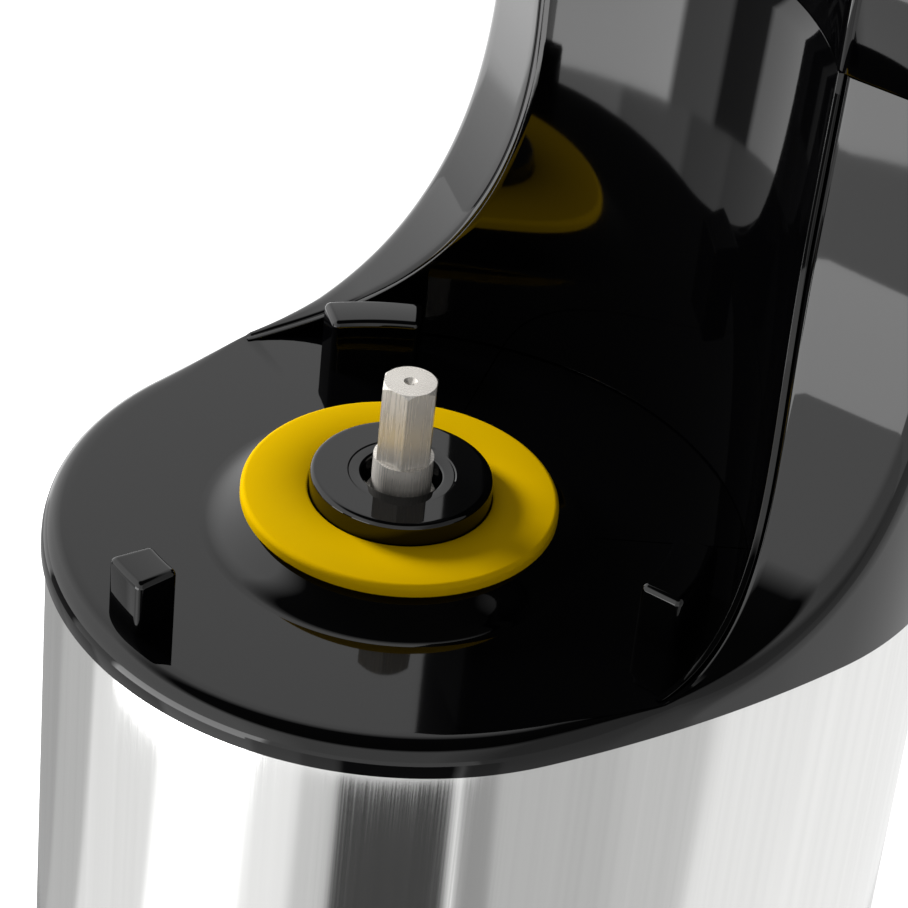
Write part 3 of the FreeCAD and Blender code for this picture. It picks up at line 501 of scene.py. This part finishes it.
def toward(a, b, distance):
    """The point at a distance from a on the way to b."""
    length = math.dist(a, b)
    return tuple(p + (q - p) * distance / length for p, q in zip(a, b))


def rounded(a, corner, b, steps):
    """Points of the curve that rounds a corner between two points beside it."""
    points = []
    for step in range(steps + 1):
        t = step / steps
        points.append(tuple((1 - t) ** 2 * p + 2 * t * (1 - t) * c + t * t * q
                            for p, c, q in zip(a, corner, b)))
    return points


def wing_stations():
    """The rim as (run, height) and, beside each of its points, the wing's inner edge or None."""
    top = COLUMN_TOP - DECK
    back_radius = WALL_RADIUS + PANEL_WALL + JOINT_GAP
    start_run = run_at_reach(WING_START)
    rim = [(start_run * step / RIM_STEPS, 0.0) for step in range(RIM_STEPS)]
    inner = [None] * RIM_STEPS
    levels = []
    for step in range(SWEEP_STEPS + 1):
        reach, height = sweep_point(step / SWEEP_STEPS)
        rim.append((run_at_reach(reach), height))
        levels.append(height)
    for step in range(1, UPRIGHT_STEPS + 1):
        rim.append((rim[-1][0], WING_TOP + (top - WING_TOP) * step / UPRIGHT_STEPS))
        levels.append(rim[-1][1])
    for index, height in enumerate(levels):
        x, y = outline_at(rim[RIM_STEPS + index][0])
        radius = back_radius + height * WALL_DRAFT
        edge = bead_point(height, radius)
        wide = math.hypot(x, y) > radius and math.dist(edge, (x, y)) > NARROWEST_WING
        inner.append((*edge, height) if wide else None)
    return rim, inner


def upper_housing():
    """Skirt, rounded rim, deck, wings and the column's sides as one skin."""
    rim, inner = wing_stations()
    first = next(index for index, spot in enumerate(inner) if spot)
    base = SEAM - DECK
    back_radius = WALL_RADIUS + PANEL_WALL + JOINT_GAP
    corners = [(*outline_at(run), height) for run, height in rim]
    widths = [math.dist(corners[i], inner[i]) if inner[i] else None for i in range(len(rim))]
    over = []
    for index, width in enumerate(widths):
        if width is None:
            share = min(1.0, max(0.0, (index - first + FADE_STEPS) / FADE_STEPS))
            share = share * share * (3 - 2 * share)
            over.append(RIM_ROUND + (min(RIM_ROUND, RIM_SHARE * widths[first]) - RIM_ROUND) * share)
        else:
            over.append(min(RIM_ROUND, RIM_SHARE * width))
    under = beside(rim, [RIM_ROUND] * len(rim))
    bead_line = [(math.atan2(spot[1], spot[0]) * back_radius, spot[2]) for spot in inner[first:]]
    bead_width = [min(BEAD_ROUND, BEAD_SHARE * width) for width in widths[first:]]
    bead_under = [(run, max(height, 0.0)) for run, height in beside(bead_line, bead_width)]

    def on_wall(run, height):
        """A point of the wall behind the panel, by the way round it."""
        radius = back_radius + height * WALL_DRAFT
        return radius * math.cos(run / back_radius), radius * math.sin(run / back_radius), height

    bm = bmesh.new()
    made = {}

    def vert(spot):
        """The one corner at a spot, shared by the faces that meet there."""
        key = tuple(round(value * 1e6) for value in spot)
        if key not in made:
            made[key] = bm.verts.new(vector(spot[0], spot[1], DECK + spot[2]))
        return made[key]

    def strip(a, b):
        """Faces between two rows of points."""
        for spots in zip(a, a[1:], b[1:], b):
            ring = []
            for spot in spots:
                corner = vert(spot)
                if corner not in ring:
                    ring.append(corner)
            if len(ring) > 2 and not bm.faces.get(ring):
                bm.faces.new(ring)

    deck_edge = []
    rows = []
    for index, corner in enumerate(corners):
        run, height = under[index]
        low = (*outline_at(run), height)
        row = [(*outline_at(run), base), (*outline_at(run), height - SUPPORT)]
        if inner[index] is None:
            normal = outline_at(rim[index][0])
            length = math.hypot(*normal)
            x, y = (value - value / length * over[index] for value in normal)
            x2, y2 = (value - value / length * (over[index] + SUPPORT) for value in normal)
            row += rounded(low, corner, (x, y, 0.0), ROUND_STEPS) + [(x2, y2, 0.0)]
            deck_edge.append((x2, y2, 0.0))
        else:
            edge = inner[index]
            bead = bead_under[index - first]
            row += rounded(low, corner, toward(corner, edge, over[index]), ROUND_STEPS)
            start = toward(edge, corner, bead_width[index - first])
            reach = math.dist(row[-1], start)
            row += [toward(row[-1], start, reach * share) for share in (0.1, 0.35, 0.65, 0.9)]
            row += rounded(start, edge, on_wall(*bead), BEAD_STEPS)
            row += [on_wall(bead[0], max(bead[1] - BEAD_SUPPORT, 0.0)), on_wall(bead[0], 0.0)]
            deck_edge.append(row[-1])
        rows.append(row)
    wall_run = bead_under[-1][0]
    rear_runs = [wall_run + (back_radius * math.pi / 2 - wall_run) * step / 36 for step in range(37)]
    deck_edge += [on_wall(run, 0.0) for run in rear_runs]
    middle_edge, foot_edge = [], []
    for x, y, _ in deck_edge:
        angle = math.atan2(y, x)
        foot = (MOUND_FOOT * math.cos(angle), MOUND_FOOT * math.sin(angle), 0.0)
        foot_edge.append(foot)
        middle_edge.append(tuple((p + q) / 2 for p, q in zip((x, y, 0.0), foot)))
    last_run = under[-1][0]
    side_runs = [last_run + (FULL_RUN - last_run) * step / 48 for step in range(49)]
    heights = [height for _, height in under[-UPRIGHT_STEPS - 1:]]
    bead_heights = [height for _, height in bead_under[-UPRIGHT_STEPS - 1:]]
    skirt_end = ROUND_STEPS + 3        # the skirt and the rounding, which deck and wing rows share
    for side in (1, -1):
        def mirrored(line, side=side):
            return [(side * x, y, height) for x, y, height in line]

        for a, b in zip(rows, rows[1:]):
            if len(a) == len(b):
                strip(mirrored(a), mirrored(b))
            else:
                strip(mirrored(a[:skirt_end]), mirrored(b[:skirt_end]))
                strip(mirrored(a[skirt_end - 1:]), mirrored([b[skirt_end - 1], b[-1]]))
        for low, high in zip([base] + heights, heights):
            strip(mirrored([(*outline_at(run), low) for run in side_runs]),
                  mirrored([(*outline_at(run), high) for run in side_runs]))
        for low, high in zip([0.0] + bead_heights, bead_heights):
            strip(mirrored([on_wall(run, low) for run in rear_runs]),
                  mirrored([on_wall(run, high) for run in rear_runs]))
        strip(mirrored(deck_edge), mirrored(middle_edge))
        strip(mirrored(middle_edge), mirrored(foot_edge))
    cut_switch_opening(bm)
    piece = finish("upper_housing_skin", bm, 40)
    return dress(piece, "black_gloss", stands_for=["upper_housing"])


def cut_switch_opening(bm):
    """Opens the skin at the rear where the switch's frame stands in it."""
    low, high = (Vector(corner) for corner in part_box("switch_frame"))
    margin = 1 * MM
    rear = SHAFT_Y + REAR_CENTRE_Y
    for axis, places in ((0, (low.x + margin, high.x - margin)), (2, (low.z + margin, high.z - margin))):
        for place in places:
            normal = Vector((0, 0, 0))
            normal[axis] = 1
            faces = [face for face in bm.faces if face.calc_center_median().y > rear
                     and abs(face.normal.y) > 0.5]
            geometry = faces + list({edge for face in faces for edge in face.edges})
            geometry += list({vert for face in faces for vert in face.verts})
            bmesh.ops.bisect_plane(bm, geom=geometry, plane_co=normal * place, plane_no=normal)
    inside = []
    for face in bm.faces:
        spot = face.calc_center_median()
        if (spot.y > SHAFT_Y + REAR_Y - 12 * MM and low.x + margin < spot.x < high.x - margin
                and low.z + margin < spot.z < high.z - margin):
            inside.append(face)
    bmesh.ops.delete(bm, geom=inside, context="FACES")


def deck_mound():
    """The flared rise under the silicone ring, running smoothly out of the deck."""
    foot, top, height = MOUND_FOOT, 34.5 * MM, 5.5 * MM
    bore = 21.5 * MM
    profile = [(bore, DECK - 3 * MM), (bore, DECK + height), (top - 1 * MM, DECK + height)]
    steps = 14
    for step in range(steps + 1):
        f = step / steps
        radius = top + (foot - top) * f
        rise = height * (1 - f) ** 2 * (1 + 0.9 * f)
        profile.append((radius, DECK + rise))
    profile.append((foot + 0.3 * MM, DECK - 0.02 * MM))
    piece = spun("deck_mound", profile, 160)
    return dress(piece, "black_gloss")


def bayonet_lug(name, place_deg, span_deg):
    """A block on the deck, a piece of a ring with rounded edges."""
    inner, outer, height = 64.2 * MM, 74.9 * MM, 14 * MM
    corners = [(inner, DECK - 0.5 * MM), (outer, DECK - 0.5 * MM),
               (outer, DECK + height), (inner, DECK + height)]
    steps = max(4, round(span_deg / 1.5))
    rows = []
    for step in range(steps + 1):
        angle = math.radians(place_deg - span_deg / 2 + span_deg * step / steps)
        rows.append([vector(radius * math.cos(angle), radius * math.sin(angle), z)
                     for radius, z in corners])
    bm = bmesh.new()
    skin_rows(bm, rows)
    bmesh.ops.holes_fill(bm, edges=bm.edges)
    bmesh.ops.recalc_face_normals(bm, faces=bm.faces)
    sharp = [edge for edge in bm.edges if edge.calc_face_angle(0) > math.radians(40)
             and max(v.co.z for v in edge.verts) > DECK]
    bevel(bm, sharp, 1.7 * MM, 5)
    piece = finish(name, bm, 50)
    return dress(piece, "black_gloss")


def concave_panel():
    """The separate concave panel, with its rounded bead round both sides."""
    bm = bmesh.new()
    top = COLUMN_TOP - DECK
    heights = [0.3 * MM + (WING_TOP - 0.3 * MM) * (step / 40) ** 1.7 for step in range(41)]
    heights += [WING_TOP + (top - WING_TOP) * step / 6 for step in range(1, 7)]
    across = 72
    rows = []
    for height in heights:
        radius = wall_radius(height)
        x, y = bead_point(height, radius, JOINT_GAP)
        start = math.atan2(y, x)
        row = []
        for step in range(across + 1):
            angle = start + (math.pi - 2 * start) * step / across
            row.append(vector(radius * math.cos(angle), radius * math.sin(angle), DECK + height))
        rows.append(row)
    skin_rows(bm, rows, closed=False)
    bmesh.ops.recalc_face_normals(bm, faces=bm.faces)
    if bm.faces[0].normal.dot(Vector((0, 1, 0))) > 0:
        bmesh.ops.reverse_faces(bm, faces=bm.faces)
    bmesh.ops.solidify(bm, geom=bm.faces, thickness=PANEL_WALL)
    inner_edges = []
    for edge in bm.edges:
        if len(edge.link_faces) != 2 or edge.calc_face_angle(0) < math.radians(50):
            continue
        inner_edges.append(edge)
    bevel(bm, inner_edges, 0.4 * MM, 3)
    piece = finish("concave_panel", bm, 40)
    return dress(piece, "black_gloss", stands_for=["column_front_panel"])


def column_cap():
    """The closed top of the column, with a rounded crown."""
    corner_run = run_at_reach(WING_TOP_Y)

    def section(z):
        """The column's outline at a height, with the concave front."""
        height = z - DECK
        radius = wall_radius(height)
        inner = bead_point(height, radius)
        right = [outline_at(corner_run + (FULL_RUN - corner_run) * step / 40) for step in range(41)]
        start = math.atan2(inner[1], inner[0])
        line = right + [(-x, y) for x, y in reversed(right[:-1])]
        steps = 48
        for step in range(steps + 1):
            angle = math.pi - start + (2 * start - math.pi) * step / steps
            line.append((radius * math.cos(angle), radius * math.sin(angle)))
        return [vector(x, y, z) for x, y in line]

    bm = bmesh.new()
    low_edges = loop_of(bm, section(CAP_LOW))
    high_edges = loop_of(bm, section(CAP_TOP))
    bmesh.ops.bridge_loops(bm, edges=low_edges + high_edges)
    bmesh.ops.contextual_create(bm, geom=high_edges)
    bmesh.ops.contextual_create(bm, geom=low_edges)
    bmesh.ops.recalc_face_normals(bm, faces=bm.faces)
    uprights = [edge for edge in bm.edges if abs(edge.verts[0].co.z - edge.verts[1].co.z) > 1 * MM
                and edge.calc_face_angle(0) > math.radians(30)]
    bevel(bm, uprights, 2.2 * MM, 4)
    crown = [edge for edge in bm.edges if all(v.co.z > CAP_TOP - 1e-5 for v in edge.verts)]
    bevel(bm, crown, 5.0 * MM, 7)
    foot = [edge for edge in bm.edges if all(v.co.z < CAP_LOW + 1e-5 for v in edge.verts)]
    bevel(bm, foot, 0.35 * MM, 2)
    piece = finish("column_cap_shell", bm, 40)
    return dress(piece, "black_gloss", stands_for=["column_cap"])


# Steel, base and feet


def outline_band(name, inset, thick, low, high, edge_round):
    """A closed band that follows the outline, with rounded edges."""
    bm = bmesh.new()
    outer, inner = outline(inset), outline(inset + thick)
    rows = [[vector(x, y, low) for x, y in outer], [vector(x, y, high) for x, y in outer],
            [vector(x, y, high) for x, y in inner], [vector(x, y, low) for x, y in inner]]
    skin_rows(bm, rows)
    bmesh.ops.remove_doubles(bm, verts=bm.verts, dist=1e-6)
    last = [edge for edge in bm.edges if len(edge.link_faces) == 1]
    bmesh.ops.bridge_loops(bm, edges=last)
    bmesh.ops.recalc_face_normals(bm, faces=bm.faces)
    sharp = [edge for edge in bm.edges
             if edge.is_manifold and edge.calc_face_angle(0) > math.radians(60)]
    bevel(bm, sharp, edge_round, 2)
    return finish(name, bm, 40)


def steel_sleeve():
    """The brushed body between the skirt and the base pan."""
    low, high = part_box("steel_sleeve")[0][2], SEAM
    piece = outline_band("brushed_sleeve", 1.2 * MM, 0.8 * MM, low, high, 0.2 * MM)
    return dress(piece, "brushed_steel", stands_for=["steel_sleeve"])


# Ring, collar and shaft


def seal_ring():
    """The soft silicone ring: flat top, rounded rim and a bevelled flank."""
    low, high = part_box("seal_ring")[0][2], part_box("seal_ring")[1][2]
    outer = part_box("seal_ring")[1][0]
    inner = 21.5 * MM
    flank = 1.6 * MM
    profile = [(inner, low), (outer - flank - 0.4 * MM, low)]
    profile += arc_profile((outer - 0.5 * MM, low + flank), 0.5 * MM, -50, 0, 4)
    profile += arc_profile((outer - 1.3 * MM, high - 1.3 * MM), 1.3 * MM, 0, 90, 8)
    profile += [(inner + 0.5 * MM, high), (inner, high - 0.3 * MM), (inner, low)]
    piece = spun("silicone_ring", profile, 160)
    return dress(piece, "yellow_silicone", stands_for=["seal_ring"])


def hub_collar():
    """The gloss collar: rounded shoulder, flat top and a stepped well round the shaft."""
    low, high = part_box("hub_collar")[0][2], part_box("hub_collar")[1][2]
    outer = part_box("hub_collar")[1][0]
    bore = 9.2 * MM
    shoulder = 1.3 * MM
    profile = [(12 * MM, low), (outer, low), (outer, high - shoulder - 0.4 * MM)]
    profile += arc_profile((outer - shoulder, high - shoulder), shoulder, 0, 90, 8)
    profile += [(outer - shoulder - 0.4 * MM, high), (bore + 3.4 * MM, high)]
    profile += [(bore + 3.1 * MM, high - 0.25 * MM), (bore + 0.8 * MM, high - 0.25 * MM)]
    profile += arc_profile((bore + 0.8 * MM, high - 1.05 * MM), 0.8 * MM, 90, 180, 4)
    profile += [(bore, high - 6.8 * MM), (12 * MM, high - 6.8 * MM), (12 * MM, low)]
    piece = spun("gloss_collar", profile, 128)
    return dress(piece, "black_gloss", stands_for=["hub_collar"])


# Stage: floor, lamps and camera


# What the glossy sides mirror of the table, by the direction seen from the shaft: 0 is towards the
# camera, negative is to its left. Each pair holds where a patch starts and how bright it is.
NEAR_PATCHES = ((-180, 0.35), (-110, 0.45), (-90, 0.75), (-62, 1.3), (-33, 0.82), (-19, 0.56),
                (-8, 0.05), (24, 1.0), (26, 0.28), (36, 0.45), (58, 0.52), (68, 0.8), (80, 0.85))
FAR_PATCHES = ((-180, 1.7), (-140, 1.0), (-118, 0.1), (-100, 0.7), (-80, 4.0), (-30, 1.0),
               (30, 0.47))
NEAR_EDGE, NEAR_EDGE_AHEAD, AHEAD_FROM = 0.46, 0.62, -35
BRIGHTEST = 5.0
PATCH_BORDER = 1.0           # degrees over which one patch runs into the next, to each side
FLOOR_LIFT = 0.88


SECOND_MIRROR = 0.12
FIRST_ON_FLOOR, FIRST_IN_ROOM = 1.5, 2.5     # ray depths: the room counts one more than a surface


def first_mirror(tree, path, limit):
    """About one for the first mirrored ray, and little for a mirror seen in a mirror."""
    first = maths(tree, "LESS_THAN", path.outputs["Ray Depth"], limit)
    return maths(tree, "ADD", first, SECOND_MIRROR)


def patch_ramp(tree, turn, patches):
    """Brightness by direction, in steps with soft borders."""
    ramp = tree.nodes.new("ShaderNodeValToRGB")
    tree.links.new(turn, ramp.inputs["Fac"])
    stops = []
    for index, (start, value) in enumerate(patches):
        if index:
            stops.append((start - PATCH_BORDER, patches[index - 1][1]))
        stops.append((start + PATCH_BORDER if index else start, value))
    ramp.color_ramp.elements[0].position = 0
    ramp.color_ramp.elements[1].position = 1
    for index, (start, value) in enumerate(stops):
        place = (start + 180) / 360
        element = ramp.color_ramp.elements[0] if index == 0 else ramp.color_ramp.elements.new(place)
        element.color = (value / BRIGHTEST, value / BRIGHTEST, value / BRIGHTEST, 1)
    last = patches[-1][1] / BRIGHTEST
    ramp.color_ramp.elements[len(ramp.color_ramp.elements) - 1].color = (last, last, last, 1)
    return ramp.outputs["Color"]


def floor_material(across, away):
    """Pale floor; the machine's glossy sides mirror a table with bright and dark patches."""
    material = bpy.data.materials.new("pale_floor")
    material.use_nodes = True
    tree = material.node_tree
    tree.nodes.clear()
    place = tree.nodes.new("ShaderNodeTexCoord").outputs["Object"]

    def along(direction):
        """The distance from the shaft along a direction."""
        dot = tree.nodes.new("ShaderNodeVectorMath")
        dot.operation = "DOT_PRODUCT"
        tree.links.new(place, dot.inputs[0])
        dot.inputs[1].default_value = direction
        return maths(tree, "SUBTRACT", dot.outputs["Value"], direction.y * SHAFT_Y)

    side, front = along(across), along(-away)
    turn = spread(tree, maths(tree, "ARCTAN2", side, front), -math.pi, math.pi, 0.0, 1.0)
    reach = maths(tree, "SQRT", maths(tree, "ADD", maths(tree, "MULTIPLY", side, side),
                                      maths(tree, "MULTIPLY", front, front)))
    ahead = maths(tree, "GREATER_THAN", turn, (AHEAD_FROM + 180) / 360)
    edge = spread(tree, ahead, 0.0, 1.0, NEAR_EDGE, NEAR_EDGE_AHEAD)
    far = maths(tree, "GREATER_THAN", reach, edge)
    near_patches = patch_ramp(tree, turn, NEAR_PATCHES)
    far_patches = patch_ramp(tree, turn, FAR_PATCHES)
    mirrored = mixed(tree, far, near_patches, far_patches)
    path = tree.nodes.new("ShaderNodeLightPath")
    glow = tree.nodes.new("ShaderNodeEmission")
    strength = maths(tree, "MULTIPLY", first_mirror(tree, path, FIRST_ON_FLOOR), BRIGHTEST)
    tree.links.new(strength, glow.inputs["Strength"])
    tree.links.new(mirrored, glow.inputs["Color"])
    pale = tree.nodes.new("ShaderNodeBsdfDiffuse")
    pale.inputs["Color"].default_value = (0.86, 0.86, 0.86, 1)
    lift = tree.nodes.new("ShaderNodeEmission")
    lift.inputs["Strength"].default_value = FLOOR_LIFT
    seen = tree.nodes.new("ShaderNodeAddShader")
    tree.links.new(pale.outputs[0], seen.inputs[0])
    tree.links.new(lift.outputs[0], seen.inputs[1])
    choose = tree.nodes.new("ShaderNodeMixShader")
    tree.links.new(path.outputs["Is Glossy Ray"], choose.inputs[0])
    tree.links.new(seen.outputs[0], choose.inputs[1])
    tree.links.new(glow.outputs[0], choose.inputs[2])
    result = tree.nodes.new("ShaderNodeOutputMaterial")
    tree.links.new(choose.outputs[0], result.inputs["Surface"])
    return material


def floor(across, away):
    """The table that the machine stands on."""
    bm = bmesh.new()
    bmesh.ops.create_grid(bm, x_segments=2, y_segments=2, size=3.0)
    piece = finish("floor", bm)
    piece.data.materials.append(floor_material(across, away))


def lamp(name, place, target, width, height, power):
    """A soft rectangular lamp that faces its target."""
    light = bpy.data.lights.new(name, "AREA")
    light.shape = "RECTANGLE"
    light.size, light.size_y = width, height
    light.energy = power
    item = bpy.data.objects.new(name, light)
    item.location = place
    item.rotation_euler = (Vector(target) - Vector(place)).to_track_quat("-Z", "Y").to_euler()
    bpy.context.scene.collection.objects.link(item)
    return item


AMBIENT = 0.28
WHITE_WALL = 0.86
DARK_CEILING = 0.02
LEFT_GAIN, RIGHT_GAIN = 1.6, 0.42      # the room is brighter on the left and dimmer on the right


def world(across):
    """White behind the object and in its low reflections, dark overhead, a quiet grey as light."""
    scene_world = bpy.data.worlds.new("studio")
    scene_world.use_nodes = True
    bpy.context.scene.world = scene_world
    tree = scene_world.node_tree
    background = tree.nodes["Background"]
    background.inputs["Color"].default_value = (1, 1, 1, 1)
    path = tree.nodes.new("ShaderNodeLightPath")
    direction = tree.nodes.new("ShaderNodeTexCoord").outputs["Generated"]
    split = tree.nodes.new("ShaderNodeSeparateXYZ")
    tree.links.new(direction, split.inputs[0])
    wall = spread(tree, split.outputs["Z"], 0.76, 0.87, WHITE_WALL, DARK_CEILING)
    sideways = tree.nodes.new("ShaderNodeVectorMath")
    sideways.operation = "DOT_PRODUCT"
    tree.links.new(direction, sideways.inputs[0])
    sideways.inputs[1].default_value = across
    side = sideways.outputs["Value"]
    wall = maths(tree, "MULTIPLY", wall, spread(tree, side, -0.6, -0.3, LEFT_GAIN, 1.0))
    wall = maths(tree, "MULTIPLY", wall, spread(tree, side, 0.3, 0.6, 1.0, RIGHT_GAIN))
    wall = maths(tree, "MULTIPLY", wall, first_mirror(tree, path, FIRST_IN_ROOM))
    camera_ray, glossy_ray = path.outputs["Is Camera Ray"], path.outputs["Is Glossy Ray"]
    other = maths(tree, "SUBTRACT", 1.0, maths(tree, "MAXIMUM", camera_ray, glossy_ray))
    strength = maths(tree, "ADD", camera_ray, maths(tree, "MULTIPLY", glossy_ray, wall))
    strength = maths(tree, "ADD", strength, maths(tree, "MULTIPLY", other, AMBIENT))
    tree.links.new(strength, background.inputs["Strength"])


# Camera: worked out from the photograph's circles of ring, collar and deck
CAMERA_AZIMUTH = 50.5
CAMERA_ELEVATION = 34.73
CAMERA_ROLL = -6.10
CAMERA_DISTANCE = 0.8375
CAMERA_AIM = (0.01142, 0.03086)      # right of and behind the shaft's axis, as the camera sees it
FOCAL_PIXELS = 3500
PICTURE = 908
SENSOR = 36


def camera():
    """The photograph's camera; gives the level directions across the picture and into it."""
    azimuth, elevation, roll = (math.radians(a) for a in (CAMERA_AZIMUTH, CAMERA_ELEVATION, CAMERA_ROLL))
    across = Vector((math.cos(azimuth), math.sin(azimuth), 0))
    away = Vector((-math.sin(azimuth), math.cos(azimuth), 0))
    up = Vector((0, 0, 1))
    aim = Vector((0, SHAFT_Y, DECK)) + across * CAMERA_AIM[0] + away * CAMERA_AIM[1]
    forward = away * math.cos(elevation) - up * math.sin(elevation)
    upright = away * math.sin(elevation) + up * math.cos(elevation)
    right = across * math.cos(roll) - upright * math.sin(roll)
    above = across * math.sin(roll) + upright * math.cos(roll)
    lens = bpy.data.cameras.new("camera")
    lens.sensor_width = SENSOR
    lens.lens = FOCAL_PIXELS / PICTURE * SENSOR
    lens.clip_start = 0.01
    item = bpy.data.objects.new("camera", lens)
    turn = Matrix((right, above, -forward)).transposed().to_4x4()
    item.matrix_world = Matrix.Translation(aim - forward * CAMERA_DISTANCE) @ turn
    bpy.context.scene.collection.objects.link(item)
    bpy.context.scene.camera = item
    return across, away


def lamps(across, away):
    """A soft key low from the machine's left, which no gloss mirrors."""
    centre = Vector((0, SHAFT_Y, DECK))
    place = centre - across * 0.34 + away * 0.22 + Vector((0, 0, 0.18))
    lamp("key", place, centre, 0.14, 0.14, 2.8).visible_glossy = False


dress_frame_nodes()
across, away = camera()
upper_housing()
deck_mound()
for lug_name, place, span in (("front_lug", -90, 10), ("right_lug", 30, 19.2), ("left_lug", 150, 19.2)):
    bayonet_lug(lug_name, place, span)
concave_panel()
column_cap()
steel_sleeve()
seal_ring()
hub_collar()
floor(across, away)
lamps(across, away)
world(across)
bpy.context.scene.view_settings.view_transform = "Standard"
